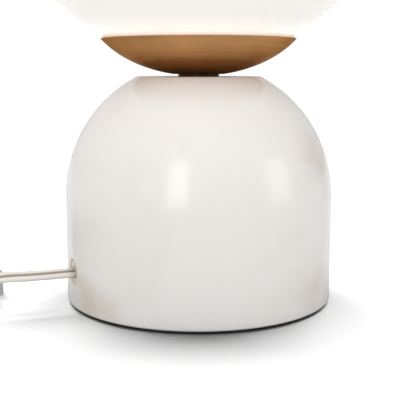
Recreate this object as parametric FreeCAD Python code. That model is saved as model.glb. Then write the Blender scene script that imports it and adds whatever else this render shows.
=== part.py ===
import FreeCAD, Part
import math
import os

from FreeCAD import Vector

os.makedirs("parts", exist_ok=True)

# All sizes are in millimetres. Z is up, the table top is z = 0, the cord leaves towards -X.

# Stone foot
base_radius = 66.0
base_top_z = 110.3
dome_centre_z = 51.8
base_edge_round = 1.2
base_top_round = 2.5
pad_thickness = 1.2
pad_inset = 1.6
rod_bore_radius = 5.6
chamber_radius = 15.0
chamber_top_z = 40.0

# Cord and its outlet in the foot
cord_diameter = 5.4
cord_exit_z = 18.4
channel_radius = 3.9
outlet_radius = 6.0
outlet_depth = 2.6
bushing_flange = 1.8
bushing_sleeve_length = 22.0
bushing_wall = 0.9
bushing_fit = 0.1
inner_bend_radius = 10.5
bushing_chamfer = 0.6

# Hollow rod and the parts clamped on it
rod_radius = 5.0
rod_hole_radius = 4.0
rod_top_above_cap_floor = 1.0
thread_fit = 0.1
washer_radius = 13.0
washer_thickness = 2.0
lock_washer_radius = 9.0
lock_washer_thickness = 1.0
lock_washer_teeth = 12
nut_across_flats = 17.0
nut_height = 5.0
rod_below_nut = 2.5
spacer_radius = 10.0
spacer_thickness = 1.1

# Brass bowl: half of an ellipsoid, cut at the rim
bowl_semi_width = 55.0
bowl_semi_height = 35.8
bowl_seat_radius = 12.5
bowl_wall = 1.0
bowl_rim_radius = 47.6
bowl_washer_inset = 0.8
bowl_washer_thickness = 1.5
bowl_nut_height = 4.0
seat_ring_inset = 3.6
seat_ring_width = 3.5
seat_ring_least = 1.0

# Glass globe
globe_radius = 100.0
globe_wall = 3.0
mouth_radius = 34.0
mouth_lip_round = 1.2
globe_clearance = 0.3

# Lampholder
holder_radius = 19.5
holder_boss_radius = 9.0
holder_boss_height = 7.0
cap_height = 26.0
cap_wall = 1.8
cap_floor = 8.5
cap_shoulder = 14.0
insert_height = 12.0
insert_ledge = 2.2
insert_fit = 0.3
shell_height = 31.0
shell_grip_length = 10.0
shell_grip_depth = 0.5
shell_end = 1.0
shell_mouth_chamfer = 0.8
shell_cavity_room = 1.2
socket_radius = 13.75
contact_cavity_radius = 15.0
contact_cavity_height = 6.0
strip_thickness = 0.6
strip_width = 6.0
terminal_offset = 9.0
terminal_head_radius = 2.6
terminal_head_height = 1.6
terminal_shank_radius = 1.4
terminal_shank_length = 8.0
lock_screw_radius = 1.5
core_radius = 0.95
core_rise = 4.2
wire_funnel_radius = 2.3
wire_funnel_depth = 2.0

# Bulb
bulb_radius = 30.0
bulb_length = 108.0
bulb_wall = 1.4
bulb_cap_radius = 13.1
bulb_thread_pitch = 3.62
bulb_thread_turns = 5
bulb_thread_depth = 0.7
bulb_cap_wall = 0.5
bulb_insulator_height = 6.0
bulb_cap_top = 26.0
bulb_tip_radius = 4.5
bulb_tip_height = 1.2
bulb_collar_inset = 3.2
bulb_collar_wall = 1.6
bulb_neck_radius = 13.9
bulb_neck_flare = 1.0
bulb_neck_length = 5.0
bulb_flare = [(19.0, 40.0), (23.5, 50.0)]
bulb_flare_wall = 2.8
bulb_contact_gap = 0.3
bulb_seat_above_insert = 4.0
led_board_thickness = 1.6
led_board_fit = 0.3
led_shelf = 2.2
bulb_sleeve_wall = 1.2
led_count = 12
led_size = 3.0
led_height = 0.8
led_ring_radius = 16.0
driver_width = 18.0
driver_height = 30.0
driver_thickness = 1.4
capacitor_radius = 3.5
capacitor_length = 9.0
capacitor_x = -3.0
capacitor_rise = 9.0
choke_width = 11.0
choke_depth = 7.0
choke_height = 10.0
choke_rise = 12.0

# Switch in the cord
switch_length = 58.0
switch_width = 25.0
switch_height = 17.0
switch_wall = 1.6
switch_split_z = 9.0
switch_cord_z = 6.5
switch_corner = 6.0
switch_edge_round = 1.5
rocker_length = 20.0
rocker_width = 11.0
rocker_rise = 2.6
rocker_throw = 12.0
rocker_gap = 0.5
rocker_keel = 1.8
axle_radius = 1.5
axle_fit = 0.08
switch_screw_radius = 1.4
switch_screw_head = 2.6
switch_screw_offset = 21.0
switch_screw_side = 7.6
switch_terminal_y = 12.5
cradle_width = 11.0
cradle_length = 8.4
cradle_inset = 4.0
screw_post_radius = 3.2
ear_length = 6.4
ear_thickness = 2.2
axle_drop = 4.0
terminal_post = 5.0
bridge_thickness = 0.5
cord_fit = 0.1

# Plug
plug_width = 35.3
plug_thickness = 13.7
plug_length = 35.0
plug_neck_width = 16.0
plug_edge_round = 2.0
plug_neck_length = 8.0
plug_neck_flare = 2.5
plug_shoulder = 18.0
plug_waist = 1.8
plug_base_length = 8.0
plug_cord_depth = 12.0
relief_length = 26.0
relief_thin = 3.7
relief_thick = 5.4
relief_ribs = 6
relief_groove = 0.9
pin_radius = 2.0
pin_length = 19.0
pin_spacing = 18.6
sleeve_radius = 1.65
sleeve_length = 10.0
pin_root = 8.0
pin_neck_radius = 1.3
pin_point = 1.0

# Where the pieces on the cord lie
switch_centre = Vector(-199.0, 76.0, 0.0)
plug_start = Vector(-108.6, 101.0, plug_thickness / 2)

# Put-away coil: it winds in on the table and out again on top of itself
coil_centre = Vector(-152.0, 134.5, 0.0)
coil_start_radius = 42.0
coil_pitch = 5.9
coil_turns_in = 3.25
coil_turns_out = 3.5
coil_start_angle = 90.0
tie_width = 7.0
tie_thickness = 1.0
tie_gap = 0.8
tie_angle = -60.0

# Places worked out from the sizes above
cord_radius = cord_diameter / 2.0
marble_bottom_z = pad_thickness
bowl_bottom_z = base_top_z + spacer_thickness
bowl_centre_z = bowl_bottom_z + bowl_semi_height * math.sqrt(1 - (bowl_seat_radius / bowl_semi_width) ** 2)
bowl_floor_z = bowl_bottom_z + bowl_wall
rim_z = bowl_centre_z - bowl_semi_height * math.sqrt(1 - (bowl_rim_radius / bowl_semi_width) ** 2)
seat_ring_outer = bowl_rim_radius - seat_ring_inset
seat_ring_inner = seat_ring_outer - seat_ring_width
holder_z = bowl_floor_z + bowl_washer_thickness + bowl_nut_height
rod_top_z = holder_z + cap_floor + rod_top_above_cap_floor
base_nut_z = chamber_top_z - washer_thickness - lock_washer_thickness - nut_height
rod_bottom_z = base_nut_z - rod_below_nut
cap_ledge = cap_shoulder + 1.0
insert_top = cap_ledge + insert_height
bulb_z = holder_z + insert_top + bulb_seat_above_insert
bulb_collar_radius = bulb_radius - bulb_collar_inset
bulb_collar_top = bulb_length - bulb_radius - math.sqrt(bulb_radius ** 2 - bulb_collar_radius ** 2)
outlet_face_x = -base_radius + outlet_depth - bushing_flange

Z = Vector(0, 0, 1)


def save(name, shape):
    """Write one sub-part as its own STEP file."""
    shape.exportStep("parts/" + name + ".step")
    return shape


def cylinder(radius, z0, z1, x=0.0, y=0.0):
    return Part.makeCylinder(radius, z1 - z0, Vector(x, y, z0), Z)


def rod_between(start, end, radius):
    return Part.makeCylinder(radius, (end - start).Length, start, end - start)


def block(x0, x1, y0, y1, z0, z1):
    return Part.makeBox(x1 - x0, y1 - y0, z1 - z0, Vector(x0, y0, z0))


def revolve(outline):
    """Turn a closed outline of (radius, z) points about the Z axis."""
    points = [Vector(r, 0, z) for r, z in outline]
    face = Part.Face(Part.makePolygon(points + [points[0]]))
    return face.revolve(Vector(0, 0, 0), Z, 360)


def revolve_edges(edges):
    face = Part.Face(Part.Wire(edges))
    return face.revolve(Vector(0, 0, 0), Z, 360)


def line(r0, z0, r1, z1):
    return Part.LineSegment(Vector(r0, 0, z0), Vector(r1, 0, z1)).toShape()


def arc(p0, mid, p1):
    return Part.Arc(Vector(p0[0], 0, p0[1]), Vector(mid[0], 0, mid[1]), Vector(p1[0], 0, p1[1])).toShape()


def on_circle(radius, centre_z, angle):
    """The (radius, z) point of an upright circle at an angle in degrees above its middle."""
    turn = math.radians(angle)
    return (radius * math.cos(turn), centre_z + radius * math.sin(turn))


def hexagon(across_flats, z0, z1):
    corner = across_flats / math.sqrt(3)
    points = [Vector(corner * math.cos(math.radians(a)), corner * math.sin(math.radians(a)), z0)
              for a in range(0, 420, 60)]
    prism = Part.Face(Part.makePolygon(points)).extrude(Vector(0, 0, z1 - z0))
    chamfer = revolve([(0, z0), (corner * 0.93, z0), (corner, z0 + corner * 0.07), (corner, z1 - corner * 0.07),
                       (corner * 0.93, z1), (0, z1)])
    return prism.common(chamfer)


def edges_at(shape, test):
    return [edge for edge in shape.Edges if test(edge)]


# ---------------------------------------------------------------- paths of the cord

def rounded_path(points):
    """Straight runs joined by tangent arcs; returns the wire, its length and its radii."""
    edges = []
    radii = []
    start = points[0]
    runs = [(points[i + 1] - points[i]).Length for i in range(len(points) - 1)]
    for i in range(1, len(points) - 1):
        before = (points[i] - points[i - 1]).normalize()
        after = (points[i + 1] - points[i]).normalize()
        half_turn = before.getAngle(after) / 2
        setback = 0.45 * min(runs[i - 1], runs[i])
        radius = setback / math.tan(half_turn)
        radii.append(radius)
        arc_start = points[i] - before * setback
        arc_end = points[i] + after * setback
        inward = (after - before).normalize()
        middle = points[i] + inward * (radius / math.cos(half_turn) - radius)
        edges.append(Part.LineSegment(start, arc_start).toShape())
        edges.append(Part.Arc(arc_start, middle, arc_end).toShape())
        start = arc_end
    edges.append(Part.LineSegment(start, points[-1]).toShape())
    wire = Part.Wire(edges)
    return wire, wire.Length, radii


def biarc(p0, t0, p1, t1):
    """Two arcs that leave p0 along t0 and reach p1 along t1."""
    span = p1 - p0
    both = t0 + t1
    spare = 2 * (1 - t0.dot(t1))
    reach = (-span.dot(both) + math.sqrt(span.dot(both) ** 2 + spare * span.dot(span))) / spare
    corner0 = p0 + t0 * reach
    corner1 = p1 - t1 * reach
    join = (corner0 + corner1) * 0.5
    return [corner_arc(p0, corner0, join), corner_arc(join, corner1, p1)]


def corner_arc(start, corner, end):
    half_chord = (end - start).Length / 2
    middle = (start + end) * 0.5
    slope = math.acos(half_chord / (corner - start).Length)
    lift = half_chord * math.tan(slope / 2)
    return Part.Arc(start, middle + (corner - middle).normalize() * lift, end).toShape()


def tube(wire, radius):
    """A round tube along a wire that is smooth from end to end."""
    start_edge = wire.OrderedEdges[0]
    start = wire.OrderedVertexes[0].Point
    other = start_edge.valueAt(start_edge.FirstParameter)
    tangent = start_edge.tangentAt(start_edge.FirstParameter)
    if (other - start).Length > 1e-6:
        tangent = start_edge.tangentAt(start_edge.LastParameter) * -1
    circle = Part.Wire(Part.Circle(start, tangent, radius).toShape())
    shell = Part.BRepOffsetAPI.MakePipeShell(wire)
    shell.add(circle)
    shell.build()
    shell.makeSolid()
    return shell.shape()


def coil_point(turn):
    """Place and direction of the cord's middle after a number of turns of the coil."""
    half = 0.5
    start_out = coil_turns_in + half
    if turn <= coil_turns_in:
        radius = coil_start_radius - coil_pitch * turn
        height, rate = cord_radius, -coil_pitch
    elif turn < start_out:
        passed = turn - coil_turns_in
        inner = coil_start_radius - coil_pitch * coil_turns_in
        radius = inner - coil_pitch * min(passed, half - passed)
        height = cord_radius + coil_pitch * passed / half
        rate = -coil_pitch if passed < half / 2 else coil_pitch
        rate = 0.0 if abs(passed - half / 2) < 1e-9 else rate
    else:
        inner = coil_start_radius - coil_pitch * coil_turns_in
        radius = inner + coil_pitch * (turn - start_out)
        height, rate = cord_radius + coil_pitch, coil_pitch
    climb = coil_pitch / half if coil_turns_in < turn < start_out else 0.0
    angle = math.radians(coil_start_angle) - 2 * math.pi * turn
    outward = Vector(math.cos(angle), math.sin(angle), 0)
    along = Vector(math.sin(angle), -math.cos(angle), 0)
    place = coil_centre + outward * radius + Vector(0, 0, height)
    direction = along * (2 * math.pi * radius) + outward * rate + Vector(0, 0, climb)
    return place, direction.normalize()


def coil_wire():
    total = coil_turns_in + 0.5 + coil_turns_out
    steps = round(total * 4)
    places = [coil_point(step / 4) for step in range(steps + 1)]
    edges = []
    for (p0, t0), (p1, t1) in zip(places, places[1:]):
        edges += biarc(p0, t0, p1, t1)
    first, first_way = places[0]
    last, last_way = places[-1]
    lead_in = first - first_way * cord_diameter
    lead_out = last + last_way * cord_diameter
    edges.insert(0, Part.LineSegment(lead_in, first).toShape())
    edges.append(Part.LineSegment(last, lead_out).toShape())
    return Part.Wire(edges), lead_in, first_way, lead_out, last_way


def least_self_gap(wire, diameter):
    """Least clear distance of a wound tube to itself, measured on points along its middle."""
    step = diameter / 3
    points = wire.discretize(Distance=step)
    apart = int(math.pi * diameter / step)
    least = 1e9
    for i in range(len(points)):
        for j in range(i + apart, len(points)):
            least = min(least, (points[i] - points[j]).Length)
    return least - diameter


# ---------------------------------------------------------------- foot

def marble_base():
    side_z = marble_bottom_z
    dome_top_r = math.sqrt(base_radius ** 2 - (base_top_z - dome_centre_z) ** 2)
    dome_mid = on_circle(base_radius, dome_centre_z, 30)
    body = revolve_edges([
        line(0, side_z, base_radius, side_z),
        line(base_radius, side_z, base_radius, dome_centre_z),
        arc((base_radius, dome_centre_z), dome_mid, (dome_top_r, base_top_z)),
        line(dome_top_r, base_top_z, 0, base_top_z),
        line(0, base_top_z, 0, side_z)])
    bottom_rim = edges_at(body, lambda e: e.BoundBox.ZMax < side_z + 0.01 and e.BoundBox.XMax > base_radius - 1)
    top_rim = edges_at(body, lambda e: e.BoundBox.ZMin > base_top_z - 0.01 and e.BoundBox.XMax > dome_top_r - 1)
    body = body.makeFillet(base_edge_round, bottom_rim)
    top_rim = edges_at(body, lambda e: e.BoundBox.ZMin > base_top_z - 0.01 and e.BoundBox.XMax > dome_top_r - 1)
    body = body.makeFillet(base_top_round, top_rim)
    body = body.cut(cylinder(rod_bore_radius, chamber_top_z - 1, base_top_z + 1))
    body = body.cut(cylinder(chamber_radius, side_z - 1, chamber_top_z))
    channel = rod_between(Vector(-base_radius - 1, 0, cord_exit_z), Vector(0, 0, cord_exit_z), channel_radius)
    outlet = rod_between(Vector(-base_radius - 5, 0, cord_exit_z),
                         Vector(-base_radius + outlet_depth, 0, cord_exit_z), outlet_radius)
    return body.cut(channel).cut(outlet)


def foot_pad():
    return cylinder(base_radius - pad_inset, 0, pad_thickness)


def cord_bushing():
    flange_r = outlet_radius - bushing_fit
    hole_r = cord_radius + bushing_fit
    seat_x = -base_radius + outlet_depth
    thin_r = hole_r + bushing_wall
    outline = [(hole_r, 0), (flange_r - bushing_chamfer, 0), (flange_r, bushing_chamfer),
               (flange_r, bushing_flange),
               (channel_radius - bushing_fit, bushing_flange),
               (thin_r - 0.2, bushing_flange + bushing_sleeve_length),
               (hole_r, bushing_flange + bushing_sleeve_length)]
    ring = revolve(outline)
    ring.rotate(Vector(0, 0, 0), Vector(0, 1, 0), 90)
    ring.translate(Vector(seat_x - bushing_flange, 0, cord_exit_z))
    return ring


def washer(outer, inner, z0, z1):
    return cylinder(outer, z0, z1).cut(cylinder(inner, z0 - 1, z1 + 1))


def lock_washer():
    z1 = chamber_top_z - washer_thickness
    z0 = z1 - lock_washer_thickness
    ring = washer(lock_washer_radius, rod_radius + thread_fit, z0, z1)
    notch_r = lock_washer_radius
    for i in range(lock_washer_teeth):
        angle = math.radians(360 * i / lock_washer_teeth)
        ring = ring.cut(cylinder(0.9, z0 - 1, z1 + 1, notch_r * math.cos(angle), notch_r * math.sin(angle)))
    return ring


def threaded_rod():
    end = 0.6
    return revolve([(rod_hole_radius, rod_bottom_z), (rod_radius - end, rod_bottom_z),
                    (rod_radius, rod_bottom_z + end), (rod_radius, rod_top_z - end),
                    (rod_radius - end, rod_top_z), (rod_hole_radius, rod_top_z)])


def nut(z0, z1):
    return hexagon(nut_across_flats, z0, z1).cut(cylinder(rod_radius + thread_fit, z0 - 1, z1 + 1))


# ---------------------------------------------------------------- bowl and globe

def ellipse_z(radius, semi_width, semi_height):
    return bowl_centre_z - semi_height * math.sqrt(1 - (radius / semi_width) ** 2)


def bowl_curve(semi_width, semi_height, r0, r1):
    """Part of the bowl's elliptical section from radius r0 out to radius r1."""
    centre = Vector(0, 0, bowl_centre_z)
    ellipse = Part.Ellipse(centre + Vector(semi_width, 0, 0), centre - Vector(0, 0, semi_height), centre)
    return Part.ArcOfEllipse(ellipse, math.acos(r1 / semi_width), math.acos(r0 / semi_width)).toShape()


def brass_bowl():
    inner_width = bowl_semi_width - bowl_wall
    inner_height = bowl_semi_height - bowl_wall
    inner_rim = inner_rim_radius()
    inner_seat = inner_width * math.sqrt(1 - ((bowl_centre_z - bowl_floor_z) / inner_height) ** 2)
    hole = rod_radius + thread_fit
    return revolve_edges([
        line(hole, bowl_bottom_z, bowl_seat_radius, bowl_bottom_z),
        bowl_curve(bowl_semi_width, bowl_semi_height, bowl_seat_radius, bowl_rim_radius),
        line(bowl_rim_radius, rim_z, inner_rim, rim_z),
        bowl_curve(inner_width, inner_height, inner_seat, inner_rim),
        line(inner_seat, bowl_floor_z, hole, bowl_floor_z),
        line(hole, bowl_floor_z, hole, bowl_bottom_z)])


def inner_rim_radius():
    inner_width = bowl_semi_width - bowl_wall
    inner_height = bowl_semi_height - bowl_wall
    return inner_width * math.sqrt(1 - ((bowl_centre_z - rim_z) / inner_height) ** 2)


def globe_centre():
    """Height at which the globe is clear of the rim's inner edge and leaves room for the soft ring."""
    clear = globe_radius + globe_clearance
    over_rim = rim_z + math.sqrt(clear ** 2 - inner_rim_radius() ** 2)
    ring_z = ellipse_z(seat_ring_outer, bowl_semi_width - bowl_wall, bowl_semi_height - bowl_wall)
    over_ring = ring_z + seat_ring_least + math.sqrt(clear ** 2 - seat_ring_outer ** 2)
    return max(over_rim, over_ring)


globe_centre_z = globe_centre()


def seat_ring():
    """A soft ring that fills the gap between the bowl and the glass near the rim."""
    inner_width = bowl_semi_width - bowl_wall
    inner_height = bowl_semi_height - bowl_wall
    reach = globe_radius + globe_clearance

    def glass_z(r):
        return globe_centre_z - math.sqrt(reach ** 2 - r ** 2)

    middle = (seat_ring_inner + seat_ring_outer) / 2
    a_low = ellipse_z(seat_ring_inner, inner_width, inner_height)
    b_low = ellipse_z(seat_ring_outer, inner_width, inner_height)
    return revolve_edges([
        bowl_curve(inner_width, inner_height, seat_ring_inner, seat_ring_outer),
        line(seat_ring_outer, b_low, seat_ring_outer, glass_z(seat_ring_outer)),
        arc((seat_ring_outer, glass_z(seat_ring_outer)), (middle, glass_z(middle)),
            (seat_ring_inner, glass_z(seat_ring_inner))),
        line(seat_ring_inner, glass_z(seat_ring_inner), seat_ring_inner, a_low)])


def glass_globe():
    inside = globe_radius - globe_wall
    centre = Vector(0, 0, globe_centre_z)
    ball = Part.makeSphere(globe_radius, centre).cut(Part.makeSphere(inside, centre))
    mouth = cylinder(mouth_radius, globe_centre_z - globe_radius - 1, globe_centre_z)
    shell = ball.cut(mouth)
    lip = edges_at(shell, lambda e: abs(e.BoundBox.XMax - mouth_radius) < 0.01 and e.BoundBox.ZLength < 0.01
                   and e.BoundBox.ZMax < globe_centre_z - inside / 2)
    return shell.makeFillet(mouth_lip_round, lip)


# ---------------------------------------------------------------- lampholder

def holder_cap():
    inside = holder_radius - cap_wall
    ledge = inside - insert_ledge
    hole = rod_radius + thread_fit
    outline = [(hole, 0), (holder_boss_radius, 0), (holder_boss_radius, holder_boss_height),
               (holder_boss_radius + 3, holder_boss_height + 2), (holder_radius, cap_shoulder),
               (holder_radius, cap_height), (inside, cap_height), (inside, cap_ledge), (ledge, cap_ledge),
               (ledge, cap_shoulder - 1), (holder_boss_radius, cap_floor), (hole, cap_floor)]
    cap = revolve([(r, z + holder_z) for r, z in outline])
    screw_z = holder_z + holder_boss_height / 2
    hole_side = rod_between(Vector(0, 0, screw_z), Vector(0, -holder_boss_radius - 1, screw_z),
                            lock_screw_radius + thread_fit / 2)
    return cap.cut(hole_side)


def lock_screw():
    screw_z = holder_z + holder_boss_height / 2
    start = Vector(0, -rod_radius - thread_fit, screw_z)
    return rod_between(start, Vector(0, -holder_boss_radius - 0.8, screw_z), lock_screw_radius)


def holder_insert():
    radius = holder_radius - cap_wall - insert_fit
    z0 = holder_z + cap_ledge
    body = cylinder(radius, z0, z0 + insert_height)
    for side in (-1, 1):
        body = body.cut(cylinder(terminal_shank_radius + thread_fit, z0 - 1, z0 + insert_height + 1,
                                 side * terminal_offset))
        body = body.cut(cylinder(wire_funnel_radius, z0 - 1, z0 + wire_funnel_depth, side * terminal_offset))
    return body.cut(cylinder(2.5, z0 - 1, z0 + insert_height / 2))


def terminal_screws():
    top = holder_z + insert_top + strip_thickness
    screws = []
    for side in (-1, 1):
        x = side * terminal_offset
        head = cylinder(terminal_head_radius, top, top + terminal_head_height, x)
        shank = cylinder(terminal_shank_radius, top - strip_thickness - terminal_shank_length, top, x)
        slot = block(x - terminal_head_radius, x + terminal_head_radius, -0.35, 0.35,
                     top + terminal_head_height - 0.7, top + terminal_head_height + 1)
        screws.append(head.fuse(shank).cut(slot))
    return Part.makeCompound(screws)


def bent_strip(points):
    """A flat metal strip of one thickness, bent in the XZ plane, from its lower outline points."""
    face = Part.Face(Part.makePolygon([Vector(x, -strip_width / 2, z) for x, z in points + [points[0]]]))
    return face.extrude(Vector(0, strip_width, 0))


def centre_contact():
    t = strip_thickness
    z0 = holder_z + insert_top
    tip = bulb_z - bulb_contact_gap
    outer = terminal_offset + terminal_head_radius
    strip = bent_strip([(outer, z0), (4.5, z0), (1.5, tip - t), (-2.5, tip - t), (-2.5, tip), (1.9, tip),
                        (4.9, z0 + t), (outer, z0 + t)])
    return strip.cut(cylinder(terminal_shank_radius + thread_fit, z0 - 1, z0 + 3, terminal_offset))


def side_contact():
    t = strip_thickness
    z0 = holder_z + insert_top
    face_x = bulb_cap_radius + bulb_contact_gap
    height = 15.0
    inner = -terminal_offset + terminal_head_radius
    strip = bent_strip([(inner, z0), (-face_x - t, z0), (-face_x - t, z0 + height), (-face_x, z0 + height),
                        (-face_x, z0 + t), (inner, z0 + t)])
    return strip.cut(cylinder(terminal_shank_radius + thread_fit, z0 - 1, z0 + 3, -terminal_offset))


def holder_shell():
    z0 = holder_z + cap_height
    spigot = holder_radius - cap_wall - insert_fit
    top = z0 + shell_height
    floor_z = holder_z + insert_top
    cavity_top = floor_z + contact_cavity_height
    grip_r = holder_radius - shell_grip_depth
    grip_z = top - shell_end - shell_grip_length
    cavity_r = contact_cavity_radius + shell_cavity_room
    outline = [(cavity_r, floor_z), (spigot, floor_z), (spigot, z0), (holder_radius, z0),
               (holder_radius, grip_z), (grip_r, grip_z), (grip_r, top - shell_end), (grip_r - shell_end, top),
               (socket_radius + shell_mouth_chamfer, top), (socket_radius, top - shell_mouth_chamfer),
               (socket_radius, cavity_top), (cavity_r, cavity_top)]
    shell = revolve(outline)
    slot = block(-contact_cavity_radius - 0.6, 0, -strip_width / 2 - 0.5, strip_width / 2 + 0.5,
                 floor_z - 1, floor_z + 16)
    return shell.cut(slot)


# ---------------------------------------------------------------- bulb

def bulb_insulator():
    outer = bulb_cap_radius - 1.3
    return revolve([(0, bulb_tip_height), (bulb_tip_radius + 0.7, bulb_tip_height), (outer, bulb_insulator_height),
                    (0, bulb_insulator_height)]).translated(Vector(0, 0, bulb_z))


def bulb_tip():
    rounding = 0.5
    return revolve([(0, 0), (bulb_tip_radius - rounding, 0), (bulb_tip_radius, rounding),
                    (bulb_tip_radius, bulb_tip_height), (0, bulb_tip_height)]).translated(Vector(0, 0, bulb_z))


def bulb_screw_cap():
    """The threaded metal cap, its thread drawn as equal ridges."""
    root = bulb_cap_radius - bulb_thread_depth
    outline = [(root - bulb_cap_wall, bulb_insulator_height), (root - 0.3, bulb_insulator_height)]
    for turn in range(bulb_thread_turns):
        z = bulb_insulator_height + 0.5 + turn * bulb_thread_pitch
        outline += [(root, z), (bulb_cap_radius, z + bulb_thread_pitch * 0.35),
                    (bulb_cap_radius, z + bulb_thread_pitch * 0.6)]
    outline += [(root, bulb_cap_top - 1.0), (root, bulb_cap_top), (root - bulb_cap_wall, bulb_cap_top)]
    return revolve(outline).translated(Vector(0, 0, bulb_z))


def bulb_collar():
    """The plastic neck; its lower sleeve sits inside the metal cap, its top carries the lamp board."""
    plug = bulb_cap_radius - bulb_thread_depth - bulb_cap_wall
    top_r = bulb_collar_radius
    wall = bulb_collar_wall
    shelf_z = bulb_collar_top - led_board_thickness
    (low_r, low_z), (high_r, high_z) = bulb_flare
    sleeve_r = plug - bulb_sleeve_wall
    lower = [(sleeve_r, bulb_insulator_height), (plug, bulb_insulator_height), (plug, bulb_cap_top),
             (bulb_neck_radius, bulb_cap_top), (bulb_neck_radius + bulb_neck_flare, bulb_cap_top + bulb_neck_length)]
    inside = [(top_r - wall, bulb_collar_top), (top_r - wall, shelf_z), (top_r - wall - led_shelf, shelf_z),
              (high_r - bulb_flare_wall, high_z), (low_r - wall, low_z),
              (sleeve_r, bulb_cap_top + bulb_neck_length - 1)]
    outline = lower + bulb_flare + [(top_r, bulb_collar_top)] + inside
    return revolve(outline).translated(Vector(0, 0, bulb_z))


def bulb_envelope():
    centre = Vector(0, 0, bulb_z + bulb_length - bulb_radius)
    ball = Part.makeSphere(bulb_radius, centre).cut(Part.makeSphere(bulb_radius - bulb_wall, centre))
    return ball.cut(cylinder(bulb_radius + 1, centre.z - bulb_radius - 1, bulb_z + bulb_collar_top))


def led_board():
    radius = bulb_collar_radius - bulb_collar_wall - led_board_fit
    z1 = bulb_z + bulb_collar_top
    return cylinder(radius, z1 - led_board_thickness, z1)


def led_chips():
    z0 = bulb_z + bulb_collar_top
    chips = []
    for i in range(led_count):
        chip = block(-led_size / 2, led_size / 2, -led_size / 2, led_size / 2, z0, z0 + led_height)
        chip.translate(Vector(led_ring_radius, 0, 0))
        chip.rotate(Vector(0, 0, 0), Z, 360 * i / led_count)
        chips.append(chip)
    return Part.makeCompound(chips)


def driver_board():
    z1 = bulb_z + bulb_collar_top - led_board_thickness
    z0 = z1 - driver_height
    board = block(-driver_width / 2, driver_width / 2, -driver_thickness / 2, driver_thickness / 2, z0, z1)
    face = driver_thickness / 2
    can_z = z0 + capacitor_rise
    can_y = face + capacitor_radius
    capacitor = cylinder(capacitor_radius, can_z, can_z + capacitor_length, capacitor_x, can_y)
    seat = block(capacitor_x - capacitor_radius * 0.85, capacitor_x + capacitor_radius * 0.85, face, can_y,
                 can_z, can_z + capacitor_length)
    choke = block(-choke_width / 2, choke_width / 2, -face - choke_depth, -face, z0 + choke_rise,
                  z0 + choke_rise + choke_height)
    return board.fuse(choke).fuse(capacitor).fuse(seat).removeSplitter()


# ---------------------------------------------------------------- wiring inside the lamp

def inner_cord():
    """The cord from the outlet through the foot and up the hollow rod."""
    turn = inner_bend_radius
    start = Vector(outlet_face_x, 0, cord_exit_z)
    before = Vector(-turn, 0, cord_exit_z)
    diagonal = turn * (1 - math.sqrt(0.5))
    middle = Vector(-diagonal, 0, cord_exit_z + diagonal)
    after = Vector(0, 0, cord_exit_z + turn)
    end = Vector(0, 0, rod_top_z)
    wire = Part.Wire([Part.LineSegment(start, before).toShape(), Part.Arc(before, middle, after).toShape(),
                      Part.LineSegment(after, end).toShape()])
    return tube(wire, cord_radius)


def core_wire(side):
    """One insulated core from the end of the cord to its terminal screw."""
    foot = Vector(side * core_radius * 1.15, 0, rod_top_z)
    screw_foot = holder_z + insert_top - terminal_shank_length
    end = Vector(side * terminal_offset, 0, screw_foot)
    points = [foot, foot + Vector(0, 0, core_rise), Vector(end.x, 0, rod_top_z + core_rise - 1.0), end]
    wire, length, radii = rounded_path(points)
    return tube(wire, core_radius)


# ---------------------------------------------------------------- switch in the cord

def switch_frame(shape):
    """Carry a shape from the switch's own frame, length along Y, to its place."""
    shape.translate(switch_centre)
    return shape


def switch_block(inset, z0, z1):
    """The switch's plan: a long block with rounded corners, drawn in by an inset."""
    half_l = switch_length / 2 - inset
    half_w = switch_width / 2 - inset
    body = block(-half_w, half_w, -half_l, half_l, z0, z1)
    corners = edges_at(body, lambda e: e.BoundBox.ZLength > (z1 - z0) * 0.9)
    return body.makeFillet(max(switch_corner - inset, 0.5), corners)


def cord_hole():
    reach = switch_length / 2 + 1
    return rod_between(Vector(0, -reach, switch_cord_z), Vector(0, reach, switch_cord_z), cord_radius + cord_fit)


def screw_places():
    return [(side_x * switch_screw_side, side_y * switch_screw_offset) for side_x, side_y in ((1, -1), (-1, 1))]


def switch_lower():
    body = switch_block(0, 0, switch_split_z)
    rim = edges_at(body, lambda e: e.BoundBox.ZMax < 0.01)
    body = body.makeFillet(switch_edge_round, rim)
    body = body.cut(switch_block(switch_wall, switch_wall, switch_split_z + 1))
    for end in (-1, 1):
        y = end * (switch_length / 2 - switch_wall - cradle_inset)
        cradle = block(-cradle_width / 2, cradle_width / 2, y - cradle_length / 2, y + cradle_length / 2,
                       switch_wall - 0.5, switch_split_z)
        body = body.fuse(cradle)
    for x, y in screw_places():
        body = body.fuse(cylinder(screw_post_radius, switch_wall - 0.5, switch_split_z, x, y))
    body = body.cut(cord_hole())
    for x, y in screw_places():
        body = body.cut(cylinder(switch_screw_radius + thread_fit, -1, switch_split_z + 1, x, y))
        body = body.cut(cylinder(switch_screw_head + thread_fit, -1, 2.0, x, y))
    return switch_frame(body.removeSplitter())


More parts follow.
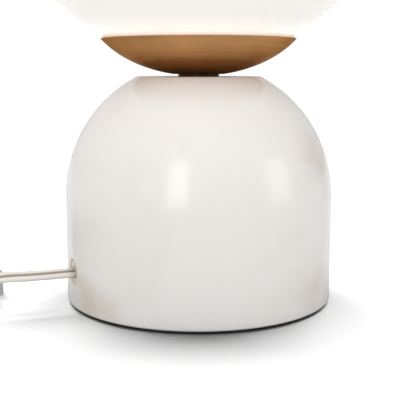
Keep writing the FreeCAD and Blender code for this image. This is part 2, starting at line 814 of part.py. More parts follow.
def switch_upper():
    body = switch_block(0, switch_split_z, switch_height)
    rim = edges_at(body, lambda e: e.BoundBox.ZMin > switch_height - 0.01)
    body = body.makeFillet(switch_edge_round * 1.4, rim)
    body = body.cut(switch_block(switch_wall, switch_split_z - 1, switch_height - switch_wall))
    for x, y in screw_places():
        body = body.fuse(cylinder(screw_post_radius, switch_split_z, switch_height - 1, x, y))
    ear_x = rocker_width / 2 + rocker_gap
    for side in (-1, 1):
        near, far = sorted((side * ear_x, side * (ear_x + ear_thickness)))
        ear = block(near, far, -ear_length / 2, ear_length / 2, rocker_axle_z() - 3.0, switch_height - 1)
        body = body.fuse(ear)
    window = block(-ear_x, ear_x, -rocker_length / 2 - rocker_gap, rocker_length / 2 + rocker_gap,
                   switch_split_z - 1, switch_height + 1)
    body = body.cut(window)
    axle = Part.makeCylinder(axle_radius + axle_fit, switch_width, Vector(-switch_width / 2, 0, rocker_axle_z()),
                             Vector(1, 0, 0))
    axle_space = block(-switch_width / 2 + 2.5, switch_width / 2 - 2.5, -5, 5, 0, switch_height - switch_wall)
    body = body.cut(axle.common(axle_space)).cut(cord_hole())
    for x, y in screw_places():
        body = body.cut(cylinder(switch_screw_radius + thread_fit, switch_split_z - 1, switch_split_z + 4.5, x, y))
    return switch_frame(body.removeSplitter())


def rocker_axle_z():
    return switch_height - axle_drop


def switch_rocker():
    """A rocker key, drawn with one end pressed in, on two moulded axle stubs."""
    axle_z = rocker_axle_z()
    half = rocker_length / 2
    rise = rocker_rise
    top = switch_height
    outline = [(-half, top + rise * 0.55), (-half * 0.5, top + rise * 0.15), (0, top),
               (half * 0.5, top + rise * 0.15), (half, top + rise * 0.55), (half - 1.2, top - 1.2),
               (half * 0.35, axle_z - rocker_keel), (-half * 0.35, axle_z - rocker_keel), (-half + 1.2, top - 1.2)]
    points = [Vector(-rocker_width / 2, y, z) for y, z in outline]
    face = Part.Face(Part.makePolygon(points + [points[0]]))
    key = face.extrude(Vector(rocker_width, 0, 0))
    stub = rocker_width / 2 + rocker_gap + 2.0
    axle = Part.makeCylinder(axle_radius, 2 * stub, Vector(-stub, 0, axle_z), Vector(1, 0, 0))
    key = key.fuse(axle).removeSplitter()
    key.rotate(Vector(0, 0, axle_z), Vector(1, 0, 0), rocker_throw / 2)
    return switch_frame(key)


def switch_screws():
    screws = []
    for x, y in screw_places():
        head = cylinder(switch_screw_head, 0.4, 2.0, x, y)
        shank = cylinder(switch_screw_radius, 2.0, switch_split_z + 4.2, x, y)
        cross = block(x - 1.6, x + 1.6, y - 0.3, y + 0.3, 0, 1.1).fuse(block(x - 0.3, x + 0.3, y - 1.6, y + 1.6, 0, 1.1))
        screws.append(head.fuse(shank).cut(cross))
    return switch_frame(Part.makeCompound(screws))


def contact_bridge():
    """The springy strip under the key that joins or parts the two terminals."""
    z0 = rocker_axle_z() - rocker_keel
    t = bridge_thickness
    half = rocker_length * 0.3
    outline = [(-half, z0 - 1.6), (-half * 0.5, z0 - t), (half * 0.5, z0 - t), (half, z0 - 1.6), (half, z0 - 1.6 + t),
               (half * 0.55, z0), (-half * 0.55, z0), (-half, z0 - 1.6 + t)]
    points = [Vector(-1.8, y, z) for y, z in outline]
    strip = Part.Face(Part.makePolygon(points + [points[0]])).extrude(Vector(3.6, 0, 0))
    strip.rotate(Vector(0, 0, rocker_axle_z()), Vector(1, 0, 0), rocker_throw / 2)
    return switch_frame(strip)


def switch_contacts():
    """Two brass terminal blocks, one each side of the key, on the floor of the lower case."""
    blocks = []
    half = terminal_post / 2
    for side in (-1, 1):
        y = side * switch_terminal_y
        post = block(-3.0, 3.0, y - half, y + half, switch_wall, switch_split_z - 1.0)
        post = post.cut(cylinder(1.1, switch_wall + 1.5, switch_split_z, 0, y))
        inner = y - side * 8.0
        arm = block(-1.5, 1.5, min(y, inner), max(y, inner), switch_wall, switch_wall + 1.0)
        blocks.append(post.fuse(arm).removeSplitter())
    return switch_frame(Part.makeCompound(blocks))


# ---------------------------------------------------------------- plug

def plug_relief():
    """Ribbed sleeve that thickens towards the plug."""
    hole = cord_radius + cord_fit
    outline = [(hole, 0), (relief_thin, 0)]
    pitch = relief_length / (relief_ribs + 0.5)
    for i in range(relief_ribs):
        z = pitch * (i + 0.5)
        r = relief_thin + (relief_thick - relief_thin) * (i + 0.5) / relief_ribs
        outline += [(r, z), (r - relief_groove, z + 0.4), (r - relief_groove, z + pitch * 0.45),
                    (r + 0.1, z + pitch * 0.45 + 0.4)]
    outline += [(relief_thick, relief_length), (hole, relief_length)]
    return plug_frame(revolve(outline))


def plug_body():
    """The flat plug: a neck that widens to a waisted grip, rounded all over."""
    half_t = plug_thickness / 2
    half_w = plug_width / 2
    neck = plug_neck_width / 2
    z0, z1 = relief_length, relief_length + plug_length
    side = [(neck, z0), (neck + plug_neck_flare, z0 + plug_neck_length), (half_w - plug_waist, z0 + plug_shoulder),
            (half_w, z1 - plug_base_length), (half_w, z1)]
    points = [(-neck, z0)] + side + [(-x, z) for x, z in reversed(side[1:])]
    face = Part.Face(Part.makePolygon([Vector(x, -half_t, z) for x, z in points + [points[0]]]))
    body = face.extrude(Vector(0, plug_thickness, 0))
    long_edges = edges_at(body, lambda e: e.BoundBox.YLength < 0.01 and e.BoundBox.ZMin > z0 + 0.01)
    body = body.makeFillet(plug_edge_round, [e for e in long_edges if e.BoundBox.ZLength > 0.01])
    body = body.cut(cylinder(cord_radius + cord_fit, z0 - 1, z0 + plug_cord_depth))
    for side in (-1, 1):
        body = body.cut(cylinder(pin_neck_radius, z1 - pin_root, z1 + 1, side * pin_spacing / 2))
    return plug_frame(body)


def plug_pins():
    z1 = relief_length + plug_length
    pins = []
    for side in (-1, 1):
        x = side * pin_spacing / 2
        tip_end = z1 + pin_length - pin_point
        neck = cylinder(pin_neck_radius, z1 - pin_root, z1 + sleeve_length, x)
        tip = cylinder(pin_radius, z1 + sleeve_length, tip_end, x)
        point = Part.makeCone(pin_radius, pin_radius - pin_point, pin_point, Vector(x, 0, tip_end), Z)
        pins.append(neck.fuse(tip).fuse(point).removeSplitter())
    return plug_frame(Part.makeCompound(pins))


def pin_sleeves():
    z1 = relief_length + plug_length
    sleeves = []
    for side in (-1, 1):
        x = side * pin_spacing / 2
        sleeve = cylinder(sleeve_radius, z1, z1 + sleeve_length, x)
        sleeves.append(sleeve.cut(cylinder(pin_neck_radius, z1 - 1, z1 + sleeve_length + 1, x)))
    return plug_frame(Part.makeCompound(sleeves))


def plug_frame(shape):
    """Lay a shape drawn upright, cord end at the bottom, flat on the table along -Y."""
    turned = shape.copy()
    turned.rotate(Vector(0, 0, 0), Vector(1, 0, 0), 90)
    turned.translate(plug_start)
    return turned


# ---------------------------------------------------------------- cord outside the lamp

coil_path, coil_in, coil_in_way, coil_out, coil_out_way = coil_wire()
switch_in = switch_centre + Vector(0, -switch_terminal_y - terminal_post / 2, switch_cord_z)
switch_out = switch_centre + Vector(0, switch_terminal_y + terminal_post / 2, switch_cord_z)

# Route from the foot to the switch's first terminal, chosen by hand
lead_route = [
    Vector(outlet_face_x, 0.0, cord_exit_z), Vector(-82.0, 0.0, cord_exit_z), Vector(-100.5, 3.6, 19.0),
    Vector(-119.0, 6.0, 16.0), Vector(-138.0, 5.6, 11.4), Vector(-156.5, 4.6, 6.8), Vector(-173.5, 6.7, 3.8),
    Vector(-186.5, 13.6, 3.2), Vector(-195.4, 25.0, 4.6), Vector(-199.0, 39.5, switch_cord_z), switch_in]

# Route from the switch's second terminal to the coil
link_route = [
    switch_out, Vector(-199.0, 111.0, switch_cord_z), Vector(-201.0, 127.5, 5.6), Vector(-199.5, 144.0, 4.4),
    Vector(-192.0, 160.0, 3.4), Vector(-182.5, 171.2, 3.1), coil_in - coil_in_way * 13.0, coil_in]

# Route from the coil to the plug
tail_route = [coil_out, coil_out + coil_out_way * 9.0, plug_start + Vector(0.0, 9.5, 0.3), plug_start]


def cord_piece(name, route):
    wire, length, radii = rounded_path(route)
    solid = tube(wire, cord_radius)
    ideal = math.pi * cord_radius ** 2 * length
    print(name, "length", round(length, 1), "radii", [round(r) for r in radii],
          "volume ratio", round(solid.Volume / ideal, 4), "lowest", round(solid.BoundBox.ZMin, 3))
    return solid, length


def cord_coil():
    solid = tube(coil_path, cord_radius)
    ideal = math.pi * cord_radius ** 2 * coil_path.Length
    print("cord_coil length", round(coil_path.Length, 1), "least gap to itself",
          round(least_self_gap(coil_path, cord_diameter), 3), "volume ratio", round(solid.Volume / ideal, 4))
    return solid


def cord_tie():
    """A soft strap closed round all the turns at one place."""
    first = ((coil_start_angle - tie_angle) % 360) / 360
    total = coil_turns_in + 0.5 + coil_turns_out
    turns = [first + k for k in range(math.ceil(total)) if first + k < total]
    radii = [(coil_point(turn)[0] - coil_centre).Length for turn in turns]
    half = tie_width / 2
    bulge = half ** 2 / (2 * (min(radii) - cord_radius))
    drift = coil_pitch * half / (2 * math.pi * min(radii))
    inner_r = min(radii) - cord_radius - tie_gap - bulge - drift
    outer_r = max(radii) + cord_radius + tie_gap
    z1 = 2 * cord_radius + coil_pitch + tie_gap
    outer = block(inner_r - tie_thickness, outer_r + tie_thickness, -half, half, 0.0, z1 + tie_thickness)
    inner = block(inner_r, outer_r, -half - 1, half + 1, -1.0, z1)
    strap = outer.cut(inner)
    strap.rotate(Vector(0, 0, 0), Z, tie_angle)
    strap.translate(coil_centre)
    return strap


def build():
    save("marble_base", marble_base())
    save("foot_pad", foot_pad())
    save("cord_bushing", cord_bushing())
    save("base_washer", washer(washer_radius, rod_radius + thread_fit, chamber_top_z - washer_thickness,
                               chamber_top_z))
    save("lock_washer", lock_washer())
    save("base_nut", nut(base_nut_z, base_nut_z + nut_height))
    save("threaded_rod", threaded_rod())
    save("bowl_spacer", washer(spacer_radius, rod_radius + thread_fit, base_top_z, bowl_bottom_z))
    save("brass_bowl", brass_bowl())
    save("seat_ring", seat_ring())
    washer_z = bowl_floor_z
    nut_z = washer_z + bowl_washer_thickness
    save("bowl_washer", washer(bowl_seat_radius - bowl_washer_inset, rod_radius + thread_fit, washer_z, nut_z))
    save("bowl_nut", nut(nut_z, nut_z + bowl_nut_height))
    save("glass_globe", glass_globe())
    save("holder_cap", holder_cap())
    save("lock_screw", lock_screw())
    save("holder_insert", holder_insert())
    save("terminal_screws", terminal_screws())
    save("centre_contact", centre_contact())
    save("side_contact", side_contact())
    save("holder_shell", holder_shell())
    save("bulb_tip", bulb_tip())
    save("bulb_insulator", bulb_insulator())
    save("bulb_screw_cap", bulb_screw_cap())
    save("bulb_collar", bulb_collar())
    save("bulb_envelope", bulb_envelope())
    save("led_board", led_board())
    save("led_chips", led_chips())
    save("driver_board", driver_board())
    save("inner_cord", inner_cord())
    save("live_core", core_wire(1))
    save("neutral_core", core_wire(-1))
    save("switch_lower", switch_lower())
    save("switch_upper", switch_upper())
    save("switch_rocker", switch_rocker())
    save("switch_screws", switch_screws())
    save("switch_contacts", switch_contacts())
    save("cord_tie", cord_tie())
    save("plug_relief", plug_relief())
    save("plug_body", plug_body())
    save("plug_pins", plug_pins())
    save("pin_sleeves", pin_sleeves())
    save("cord_coil", cord_coil())
    save("contact_bridge", contact_bridge())
    lengths = []
    for name, route in (("cord_lead", lead_route), ("cord_link", link_route), ("cord_tail", tail_route)):
        solid, length = cord_piece(name, route)
        save(name, solid)
        lengths.append(length)
    through_switch = 2 * switch_terminal_y + terminal_post
    print("cord from foot to plug", round(sum(lengths) + coil_path.Length + through_switch, 1))
    print("globe centre z", round(globe_centre_z, 2), "holder z", holder_z, "bulb z", bulb_z,
          "rim z", round(rim_z, 2), "inner rim", round(inner_rim_radius(), 2))


build()
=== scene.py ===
import math

import bmesh
import bpy
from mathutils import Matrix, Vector


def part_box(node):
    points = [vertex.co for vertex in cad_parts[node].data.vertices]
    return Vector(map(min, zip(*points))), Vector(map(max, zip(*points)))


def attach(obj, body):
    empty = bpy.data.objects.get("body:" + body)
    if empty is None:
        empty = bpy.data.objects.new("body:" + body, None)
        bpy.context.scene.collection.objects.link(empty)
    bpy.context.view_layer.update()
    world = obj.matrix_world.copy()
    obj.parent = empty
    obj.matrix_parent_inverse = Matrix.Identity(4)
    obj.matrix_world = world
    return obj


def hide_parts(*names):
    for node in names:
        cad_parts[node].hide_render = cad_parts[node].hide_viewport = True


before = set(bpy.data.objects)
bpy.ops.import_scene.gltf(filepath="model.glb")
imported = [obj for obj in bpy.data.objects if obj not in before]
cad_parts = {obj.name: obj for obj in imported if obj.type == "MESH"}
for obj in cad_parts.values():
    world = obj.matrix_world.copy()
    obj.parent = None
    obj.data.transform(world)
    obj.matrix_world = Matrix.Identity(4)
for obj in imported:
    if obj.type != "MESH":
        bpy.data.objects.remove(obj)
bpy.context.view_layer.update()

bl_info = {
    "name": "Globe table lamp",
    "version": (1, 0, 0),
    "blender": (4, 5, 0),
    "location": "View3D > Sidebar > Lamp",
    "description": "Dresses the packed globe lamp with its marble, brass, glass and cord",
    "category": "Add Mesh",
}

MM = 0.001

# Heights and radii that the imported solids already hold
FOOT_LOW, FOOT_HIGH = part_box("marble_base")
PAD_LOW, PAD_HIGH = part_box("foot_pad")
BOWL_LOW, BOWL_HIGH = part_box("brass_bowl")
GLOBE_LOW, GLOBE_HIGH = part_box("glass_globe")
BUSHING_LOW, BUSHING_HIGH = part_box("cord_bushing")
CHIPS_LOW, CHIPS_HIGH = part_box("led_chips")


# ------------------------------------------------------------------ settings

def length_setting(name, description, default):
    return bpy.props.FloatProperty(name=name, description=description, default=default, unit="LENGTH")


def angle_setting(name, description, degrees):
    return bpy.props.FloatProperty(name=name, description=description, default=math.radians(degrees),
                                   subtype="ANGLE")


def colour_setting(name, description, default):
    return bpy.props.FloatVectorProperty(name=name, description=description, subtype="COLOR", size=3,
                                         default=default, min=0, max=1)


def amount_setting(name, description, default, **limits):
    return bpy.props.FloatProperty(name=name, description=description, default=default, **limits)


class LampFootSettings(bpy.types.PropertyGroup):
    """Sizes and colours of the marble foot"""
    radius: length_setting("Radius", "Radius of the upright wall", FOOT_HIGH[1])
    dome_centre: length_setting("Dome centre", "Height where the wall becomes the dome", 51.8 * MM)
    edge_round: length_setting("Bottom edge", "Rounding of the bottom edge", 1.2 * MM)
    top_round: length_setting("Top edge", "Rounding round the flat top", 2.5 * MM)
    bore_radius: length_setting("Bore", "Radius of the hole for the rod", 5.6 * MM)
    chamber_radius: length_setting("Chamber", "Radius of the chamber for the nut", 15.0 * MM)
    chamber_top: length_setting("Chamber top", "Height of the chamber's ceiling", 40.0 * MM)
    outlet_height: length_setting("Outlet height", "Height of the cord's outlet", 18.4 * MM)
    outlet_radius: length_setting("Outlet radius", "Radius of the recess round the outlet", 6.0 * MM)
    outlet_depth: length_setting("Outlet depth", "Depth of that recess", 2.6 * MM)
    stone: colour_setting("Stone", "Colour of the marble", (0.88, 0.85, 0.822))
    patch: colour_setting("Patch", "Colour of the warm patches", (0.72, 0.63, 0.53))


class LampMetalSettings(bpy.types.PropertyGroup):
    """Sizes and colours of the brass bowl"""
    semi_width: length_setting("Half width", "Half width of the bowl's ellipse", 55.0 * MM)
    semi_height: length_setting("Half height", "Half height of the bowl's ellipse", 35.8 * MM)
    seat_radius: length_setting("Seat", "Radius of the bowl's flat bottom", 12.5 * MM)
    wall: length_setting("Wall", "Thickness of the sheet", 1.0 * MM)
    hole_radius: length_setting("Hole", "Radius of the hole for the rod", 5.1 * MM)
    brass: colour_setting("Brass", "Colour of the brushed brass", (0.50, 0.26, 0.11))
    brass_light: colour_setting("Light brass", "Colour of the brushed streaks", (0.60, 0.33, 0.145))


class LampGlassSettings(bpy.types.PropertyGroup):
    """Sizes and colours of the opal globe"""
    radius: length_setting("Radius", "Outer radius of the globe", GLOBE_HIGH[0])
    wall: length_setting("Wall", "Thickness of the glass", 3.0 * MM)
    mouth: length_setting("Mouth", "Radius of the opening below", 34.0 * MM)
    opal: colour_setting("Opal", "Colour of the glass", (0.88, 0.86, 0.83))
    # Painted light and reflection: extra warm light painted on the glass just above the bowl's rim, standing
    # in for the brass's reflection and brightening the shade the bowl casts there.
    rim_painted_reflection: amount_setting("Glow at the bowl", "Extra light just above the bowl's rim", 0.2, min=0)
    glow: amount_setting("Glow", "Light that the opal glass gives off", 0.28, min=0)


class LampCordSettings(bpy.types.PropertyGroup):
    """Sizes and colours of the flat twin cord"""
    width: length_setting("Width", "Width of the flat cord", 5.4 * MM)
    first_roll: angle_setting("First roll", "Turn of the flat cord where it leaves", 53)
    skin: colour_setting("Skin", "Colour of the clear skin over the cores", (0.85, 0.80, 0.74))
    # Painted shade: the groove between the cores is given this darker colour where shade falls.
    shadow: colour_setting("Groove", "Colour seen between the cores", (0.34, 0.28, 0.24))


class LampStageSettings(bpy.types.PropertyGroup):
    """Camera, floor and lights"""
    azimuth: angle_setting("Azimuth", "Direction that the camera looks from", -25.0)
    distance: length_setting("Distance", "Level distance from the lamp's axis", 0.4092)
    eye_height: length_setting("Eye height", "Height of the camera", 0.1147)
    pitch: angle_setting("Pitch", "Downward tilt", 9.154)
    focal_pixels: amount_setting("Focal length", "In pixels of a 400 pixel frame", 824.1)
    axis_pixel: amount_setting("Axis column", "Pixel column of the lamp's axis", 198.6)
    fill_left: amount_setting("Left fill", "Even light from the left", 0.74, min=0)
    fill_right: amount_setting("Right fill", "Even light from the right", 0.52, min=0)
    floor_tone: amount_setting("Floor tone", "How much light the floor gives back", 0.25, min=0, max=1)
    floor_bounce: amount_setting("Floor bounce", "Share of the floor's tone that lights the lamp from below",
                                 0.36, min=0, max=1)
    floor_mirror: amount_setting("Floor mirror", "How far reflections see that lower tone", 0.7, min=0, max=1)
    floor_sky: amount_setting("Floor sky", "Light from above for the floor alone", 5.5, min=0)
    floor_sides: amount_setting("Floor sides", "Light from each side for the floor alone", 10.0, min=0)
    front_lift: amount_setting("Front lift", "Light from the front, high up, for the lamp alone", 0.3, min=0)
    left_box: amount_setting("Left box", "Power of the left panel", 4.4, min=0)
    right_box: amount_setting("Right box", "Power of the right panel", 2.2, min=0)


# ------------------------------------------------------------------ helpers

def new_object(name, mesh, body):
    obj = bpy.data.objects.new(name, mesh)
    bpy.context.collection.objects.link(obj)
    for polygon in mesh.polygons:
        polygon.use_smooth = True
    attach(obj, body)
    return obj


def lathe(name, outline, steps, closed=True):
    """A mesh turned about Z from (radius, z) points; points on the axis close to a pole."""
    mesh = bpy.data.meshes.new(name)
    bm = bmesh.new()
    rings = []
    for radius, z in outline:
        if radius < 1e-7:
            rings.append([bm.verts.new((0, 0, z))] * steps)
            continue
        rings.append([bm.verts.new((radius * math.cos(2 * math.pi * i / steps),
                                    radius * math.sin(2 * math.pi * i / steps), z)) for i in range(steps)])
    pairs = list(zip(rings, rings[1:]))
    if closed:
        pairs.append((rings[-1], rings[0]))
    for low, high in pairs:
        for i in range(steps):
            j = (i + 1) % steps
            corners = []
            for vert in (low[i], low[j], high[j], high[i]):
                if vert not in corners:
                    corners.append(vert)
            if len(corners) > 2:
                bm.faces.new(corners)
    bmesh.ops.recalc_face_normals(bm, faces=bm.faces)
    bm.to_mesh(mesh)
    bm.free()
    return mesh


def arc_points(centre, radius, start, end, count):
    """(radius, z) points of an arc; angles in degrees from the outward direction, upwards."""
    points = []
    for i in range(count + 1):
        turn = math.radians(start + (end - start) * i / count)
        points.append((centre[0] + radius * math.cos(turn), centre[1] + radius * math.sin(turn)))
    return points


def sharpen(obj, degrees):
    """Smooth shading that keeps the edges sharper than an angle."""
    obj.data.set_sharp_from_angle(angle=math.radians(degrees))


def evaluated_mesh(obj, name):
    depsgraph = bpy.context.evaluated_depsgraph_get()
    mesh = bpy.data.meshes.new_from_object(obj.evaluated_get(depsgraph), depsgraph=depsgraph)
    mesh.name = name
    return mesh


def carve(obj, tools):
    """Cut other meshes out of an object and keep the result as its plain mesh."""
    cutters = []
    for mesh in tools:
        cutter = bpy.data.objects.new("cutter", mesh)
        bpy.context.collection.objects.link(cutter)
        modifier = obj.modifiers.new("cut", "BOOLEAN")
        modifier.object = cutter
        modifier.operation = "DIFFERENCE"
        modifier.solver = "EXACT"
        cutters.append(cutter)
    mesh = evaluated_mesh(obj, obj.name)
    obj.modifiers.clear()
    obj.data = mesh
    for cutter in cutters:
        bpy.data.objects.remove(cutter)
    for polygon in mesh.polygons:
        polygon.use_smooth = True


def dress(node, material):
    """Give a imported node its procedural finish."""
    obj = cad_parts[node]
    obj.data.materials.clear()
    obj.data.materials.append(material)


def finish_piece(obj, material, slot, *nodes):
    obj.data.materials.clear()
    obj.data.materials.append(material)
    if nodes:
        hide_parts(*nodes)


# ------------------------------------------------------------------ materials

class Shader:
    """Short calls for building one procedural material."""

    def __init__(self, name, base, roughness, metallic=0.0):
        self.material = bpy.data.materials.new(name)
        self.material.use_nodes = True
        self.tree = self.material.node_tree
        self.bsdf = self.tree.nodes["Principled BSDF"]
        self.bsdf.inputs["Base Color"].default_value = (*base, 1.0)
        self.bsdf.inputs["Roughness"].default_value = roughness
        self.bsdf.inputs["Metallic"].default_value = metallic

    def set(self, **values):
        for key, value in values.items():
            self.bsdf.inputs[key.replace("_", " ")].default_value = value
        return self

    def node(self, kind, **values):
        node = self.tree.nodes.new(kind)
        for key, value in values.items():
            if hasattr(node, key):
                setattr(node, key, value)
            else:
                node.inputs[key.replace("_", " ")].default_value = value
        return node

    def link(self, source, target):
        self.tree.links.new(source, target)

    def coordinates(self, scale=(1, 1, 1)):
        place = self.node("ShaderNodeTexCoord")
        mapping = self.node("ShaderNodeMapping")
        mapping.inputs["Scale"].default_value = scale
        self.link(place.outputs["Object"], mapping.inputs["Vector"])
        return mapping.outputs["Vector"]

    def noise(self, scale, detail=3.0, roughness=0.5, stretch=(1, 1, 1), distortion=0.0):
        noise = self.node("ShaderNodeTexNoise", Scale=scale, Detail=detail, Roughness=roughness,
                          Distortion=distortion)
        self.link(self.coordinates(stretch), noise.inputs["Vector"])
        return noise.outputs["Fac"]

    def ramp(self, value, stops):
        ramp = self.node("ShaderNodeValToRGB")
        elements = ramp.color_ramp.elements
        while len(elements) < len(stops):
            elements.new(0.5)
        for element, (position, colour) in zip(elements, stops):
            element.position = position
            element.color = (*colour, 1.0) if len(colour) == 3 else colour
        self.link(value, ramp.inputs["Fac"])
        return ramp.outputs["Color"]

    def mix(self, factor, first, second, blend="MIX"):
        mix = self.tree.nodes.new("ShaderNodeMix")
        mix.data_type = "RGBA"
        mix.blend_type = blend
        for socket, value in ((mix.inputs[0], factor), (mix.inputs[6], first), (mix.inputs[7], second)):
            if isinstance(value, bpy.types.NodeSocket):
                self.link(value, socket)
            elif isinstance(value, (int, float)):
                socket.default_value = value
            else:
                socket.default_value = (*value, 1.0)
        return mix.outputs[2]

    def colour(self, socket):
        self.link(socket, self.bsdf.inputs["Base Color"])
        return self

    def gloss(self, value, low, high):
        spread = self.node("ShaderNodeMapRange")
        spread.inputs["To Min"].default_value = low
        spread.inputs["To Max"].default_value = high
        self.link(value, spread.inputs["Value"])
        self.link(spread.outputs["Result"], self.bsdf.inputs["Roughness"])
        return self

    def bump(self, value, strength, distance):
        bump = self.node("ShaderNodeBump", Strength=strength, Distance=distance)
        self.link(value, bump.inputs["Height"])
        self.link(bump.outputs["Normal"], self.bsdf.inputs["Normal"])
        return self


def spot(shader, centre, radius):
    """1 near a point of the object and 0 past a distance from it, in metres."""
    offset = shader.node("ShaderNodeVectorMath", operation="DISTANCE")
    place = shader.node("ShaderNodeTexCoord")
    shader.link(place.outputs["Object"], offset.inputs[0])
    offset.inputs[1].default_value = centre
    fall = shader.node("ShaderNodeMapRange", interpolation_type="SMOOTHERSTEP")
    fall.inputs["From Min"].default_value = 0.0
    fall.inputs["From Max"].default_value = radius
    fall.inputs["To Min"].default_value = 1.0
    fall.inputs["To Max"].default_value = 0.0
    shader.link(offset.outputs["Value"], fall.inputs["Value"])
    return fall.outputs["Result"]


def multiply(shader, first, second):
    product = shader.node("ShaderNodeMath", operation="MULTIPLY")
    shader.link(first, product.inputs[0])
    if isinstance(second, bpy.types.NodeSocket):
        shader.link(second, product.inputs[1])
    else:
        product.inputs[1].default_value = second
    return product.outputs["Value"]


def on_foot(azimuth, height, radius):
    """A point on the foot's wall, its direction in degrees from the camera's side, positive to the right."""
    turn = bpy.context.scene.lamp_stage.azimuth + math.radians(azimuth - 90)
    return (radius * math.cos(turn), radius * math.sin(turn), height)


# Warm patches of the marble: direction from the camera's side, height, reach and strength
PATCHES = [
    (58.0, 0.080, 0.020, 0.75), (66.0, 0.064, 0.016, 0.6), (48.0, 0.092, 0.016, 0.35),
    (-50.0, 0.008, 0.017, 0.9), (-38.0, 0.006, 0.014, 0.7), (-61.0, 0.012, 0.016, 0.5),
    (52.0, 0.010, 0.015, 0.5), (60.0, 0.018, 0.013, 0.4), (20.0, 0.1, 0.03, 0.15),
]


def marble_material(settings):
    shader = Shader("polished_marble", settings.stone, 0.2)
    broad = shader.noise(9.0, detail=2.0, roughness=0.5)
    cloud = shader.noise(34.0, detail=5.0, roughness=0.6, distortion=0.6)
    fine = shader.noise(420.0, detail=2.0)
    stone = Vector(settings.stone)
    colour = shader.ramp(broad, [(0.35, stone * 0.985), (0.65, stone * 1.015)])
    colour = shader.mix(multiply(shader, shader.ramp(cloud, [(0.52, (0, 0, 0)), (0.75, (1, 1, 1))]), 0.16),
                        colour, settings.patch)
    radius = settings.radius
    for azimuth, height, reach, strength in PATCHES:
        near = spot(shader, on_foot(azimuth, height, radius * 0.98), reach)
        ragged = shader.ramp(cloud, [(0.3, (0.25, 0.25, 0.25)), (0.6, (1, 1, 1))])
        share = multiply(shader, multiply(shader, near, ragged), strength)
        colour = shader.mix(share, colour, settings.patch)
    pit = shader.ramp(shader.noise(150.0, detail=1.0, roughness=0.3), [(0.16, (1, 1, 1)), (0.2, (0, 0, 0))])
    colour = shader.mix(multiply(shader, pit, 0.35), colour, (0.5, 0.42, 0.34))
    shader.colour(colour)
    shader.gloss(fine, 0.16, 0.24)
    shader.bump(fine, 0.03, 0.0002)
    shader.set(Coat_Weight=0.2, Coat_Roughness=0.12, Specular_IOR_Level=0.38, IOR=1.49)
    return shader.material


def brass_material(settings):
    shader = Shader("brushed_brass", settings.brass, 0.36, 1.0)
    streak = shader.noise(1.0, detail=4.0, roughness=0.6, stretch=(18, 18, 2600))
    mottle = shader.noise(60.0, detail=3.0)
    light = Vector(settings.brass_light)
    colour = shader.ramp(streak, [(0.3, Vector(settings.brass) * 0.86), (0.7, light)])
    mottled = shader.ramp(mottle, [(0.3, Vector(settings.brass) * 0.9), (0.7, light)])
    colour = shader.mix(0.35, colour, mottled)
    shader.colour(colour)
    shader.gloss(streak, 0.27, 0.42)
    shader.bump(streak, 0.12, 0.0001)
    shader.set(Anisotropic=0.55, Specular_Tint=(0.3, 0.25, 0.25, 1.0))
    return shader.material


def opal_material(settings):
    shader = Shader("opal_glass", settings.opal, 0.12)
    cast = shader.noise(14.0, detail=2.0)
    opal = Vector(settings.opal)
    shader.colour(shader.ramp(cast, [(0.3, opal * 0.99), (0.7, opal * 1.01)]))
    place = shader.node("ShaderNodeTexCoord")
    height = shader.node("ShaderNodeSeparateXYZ")
    shader.link(place.outputs["Object"], height.inputs["Vector"])
    # Painted light and reflection: a warm band of light painted on the glass just above the bowl's rim
    # brightens the shade the bowl casts there and stands in for the brass's reflection. It is set by the
    # glass's own height, so it stays on the globe when the globe is lifted.
    near_bowl = shader.node("ShaderNodeMapRange", interpolation_type="SMOOTHSTEP")
    for label, value in (("From Min", BOWL_HIGH[2]), ("From Max", BOWL_HIGH[2] + 9 * MM), ("To Min", 1.0),
                         ("To Max", 0.0)):
        near_bowl.inputs[label].default_value = value
    shader.link(height.outputs["Z"], near_bowl.inputs["Value"])
    glow = shader.node("ShaderNodeMath", operation="MULTIPLY_ADD")
    shader.link(near_bowl.outputs["Result"], glow.inputs[0])
    glow.inputs[1].default_value = settings.rim_painted_reflection
    glow.inputs[2].default_value = settings.glow
    shader.link(glow.outputs["Value"], shader.bsdf.inputs["Emission Strength"])
    shader.link(shader.mix(near_bowl.outputs["Result"], (1.0, 0.955, 0.90), (1.0, 0.89, 0.78)),
                shader.bsdf.inputs["Emission Color"])
    shader.set(IOR=1.5, Specular_IOR_Level=0.12, Coat_Weight=0.03, Coat_Roughness=0.08)
    return shader.material


def plain_material(name, base, roughness, metallic=0.0, scale=120.0, vary=0.08, grain=0.06, **values):
    """A moulded, plated or turned finish: slight colour change, uneven gloss and a fine grain."""
    shader = Shader(name, base, roughness, metallic)
    cloud = shader.noise(scale, detail=4.0)
    fine = shader.noise(scale * 14, detail=2.0)
    tone = Vector(base)
    shader.colour(shader.ramp(cloud, [(0.3, tone * (1 - vary)), (0.7, tone * (1 + vary))]))
    shader.gloss(fine, roughness * 0.85, min(1.0, roughness * 1.15))
    shader.bump(fine, grain, 0.0002)
    shader.set(**values)
    return shader.material


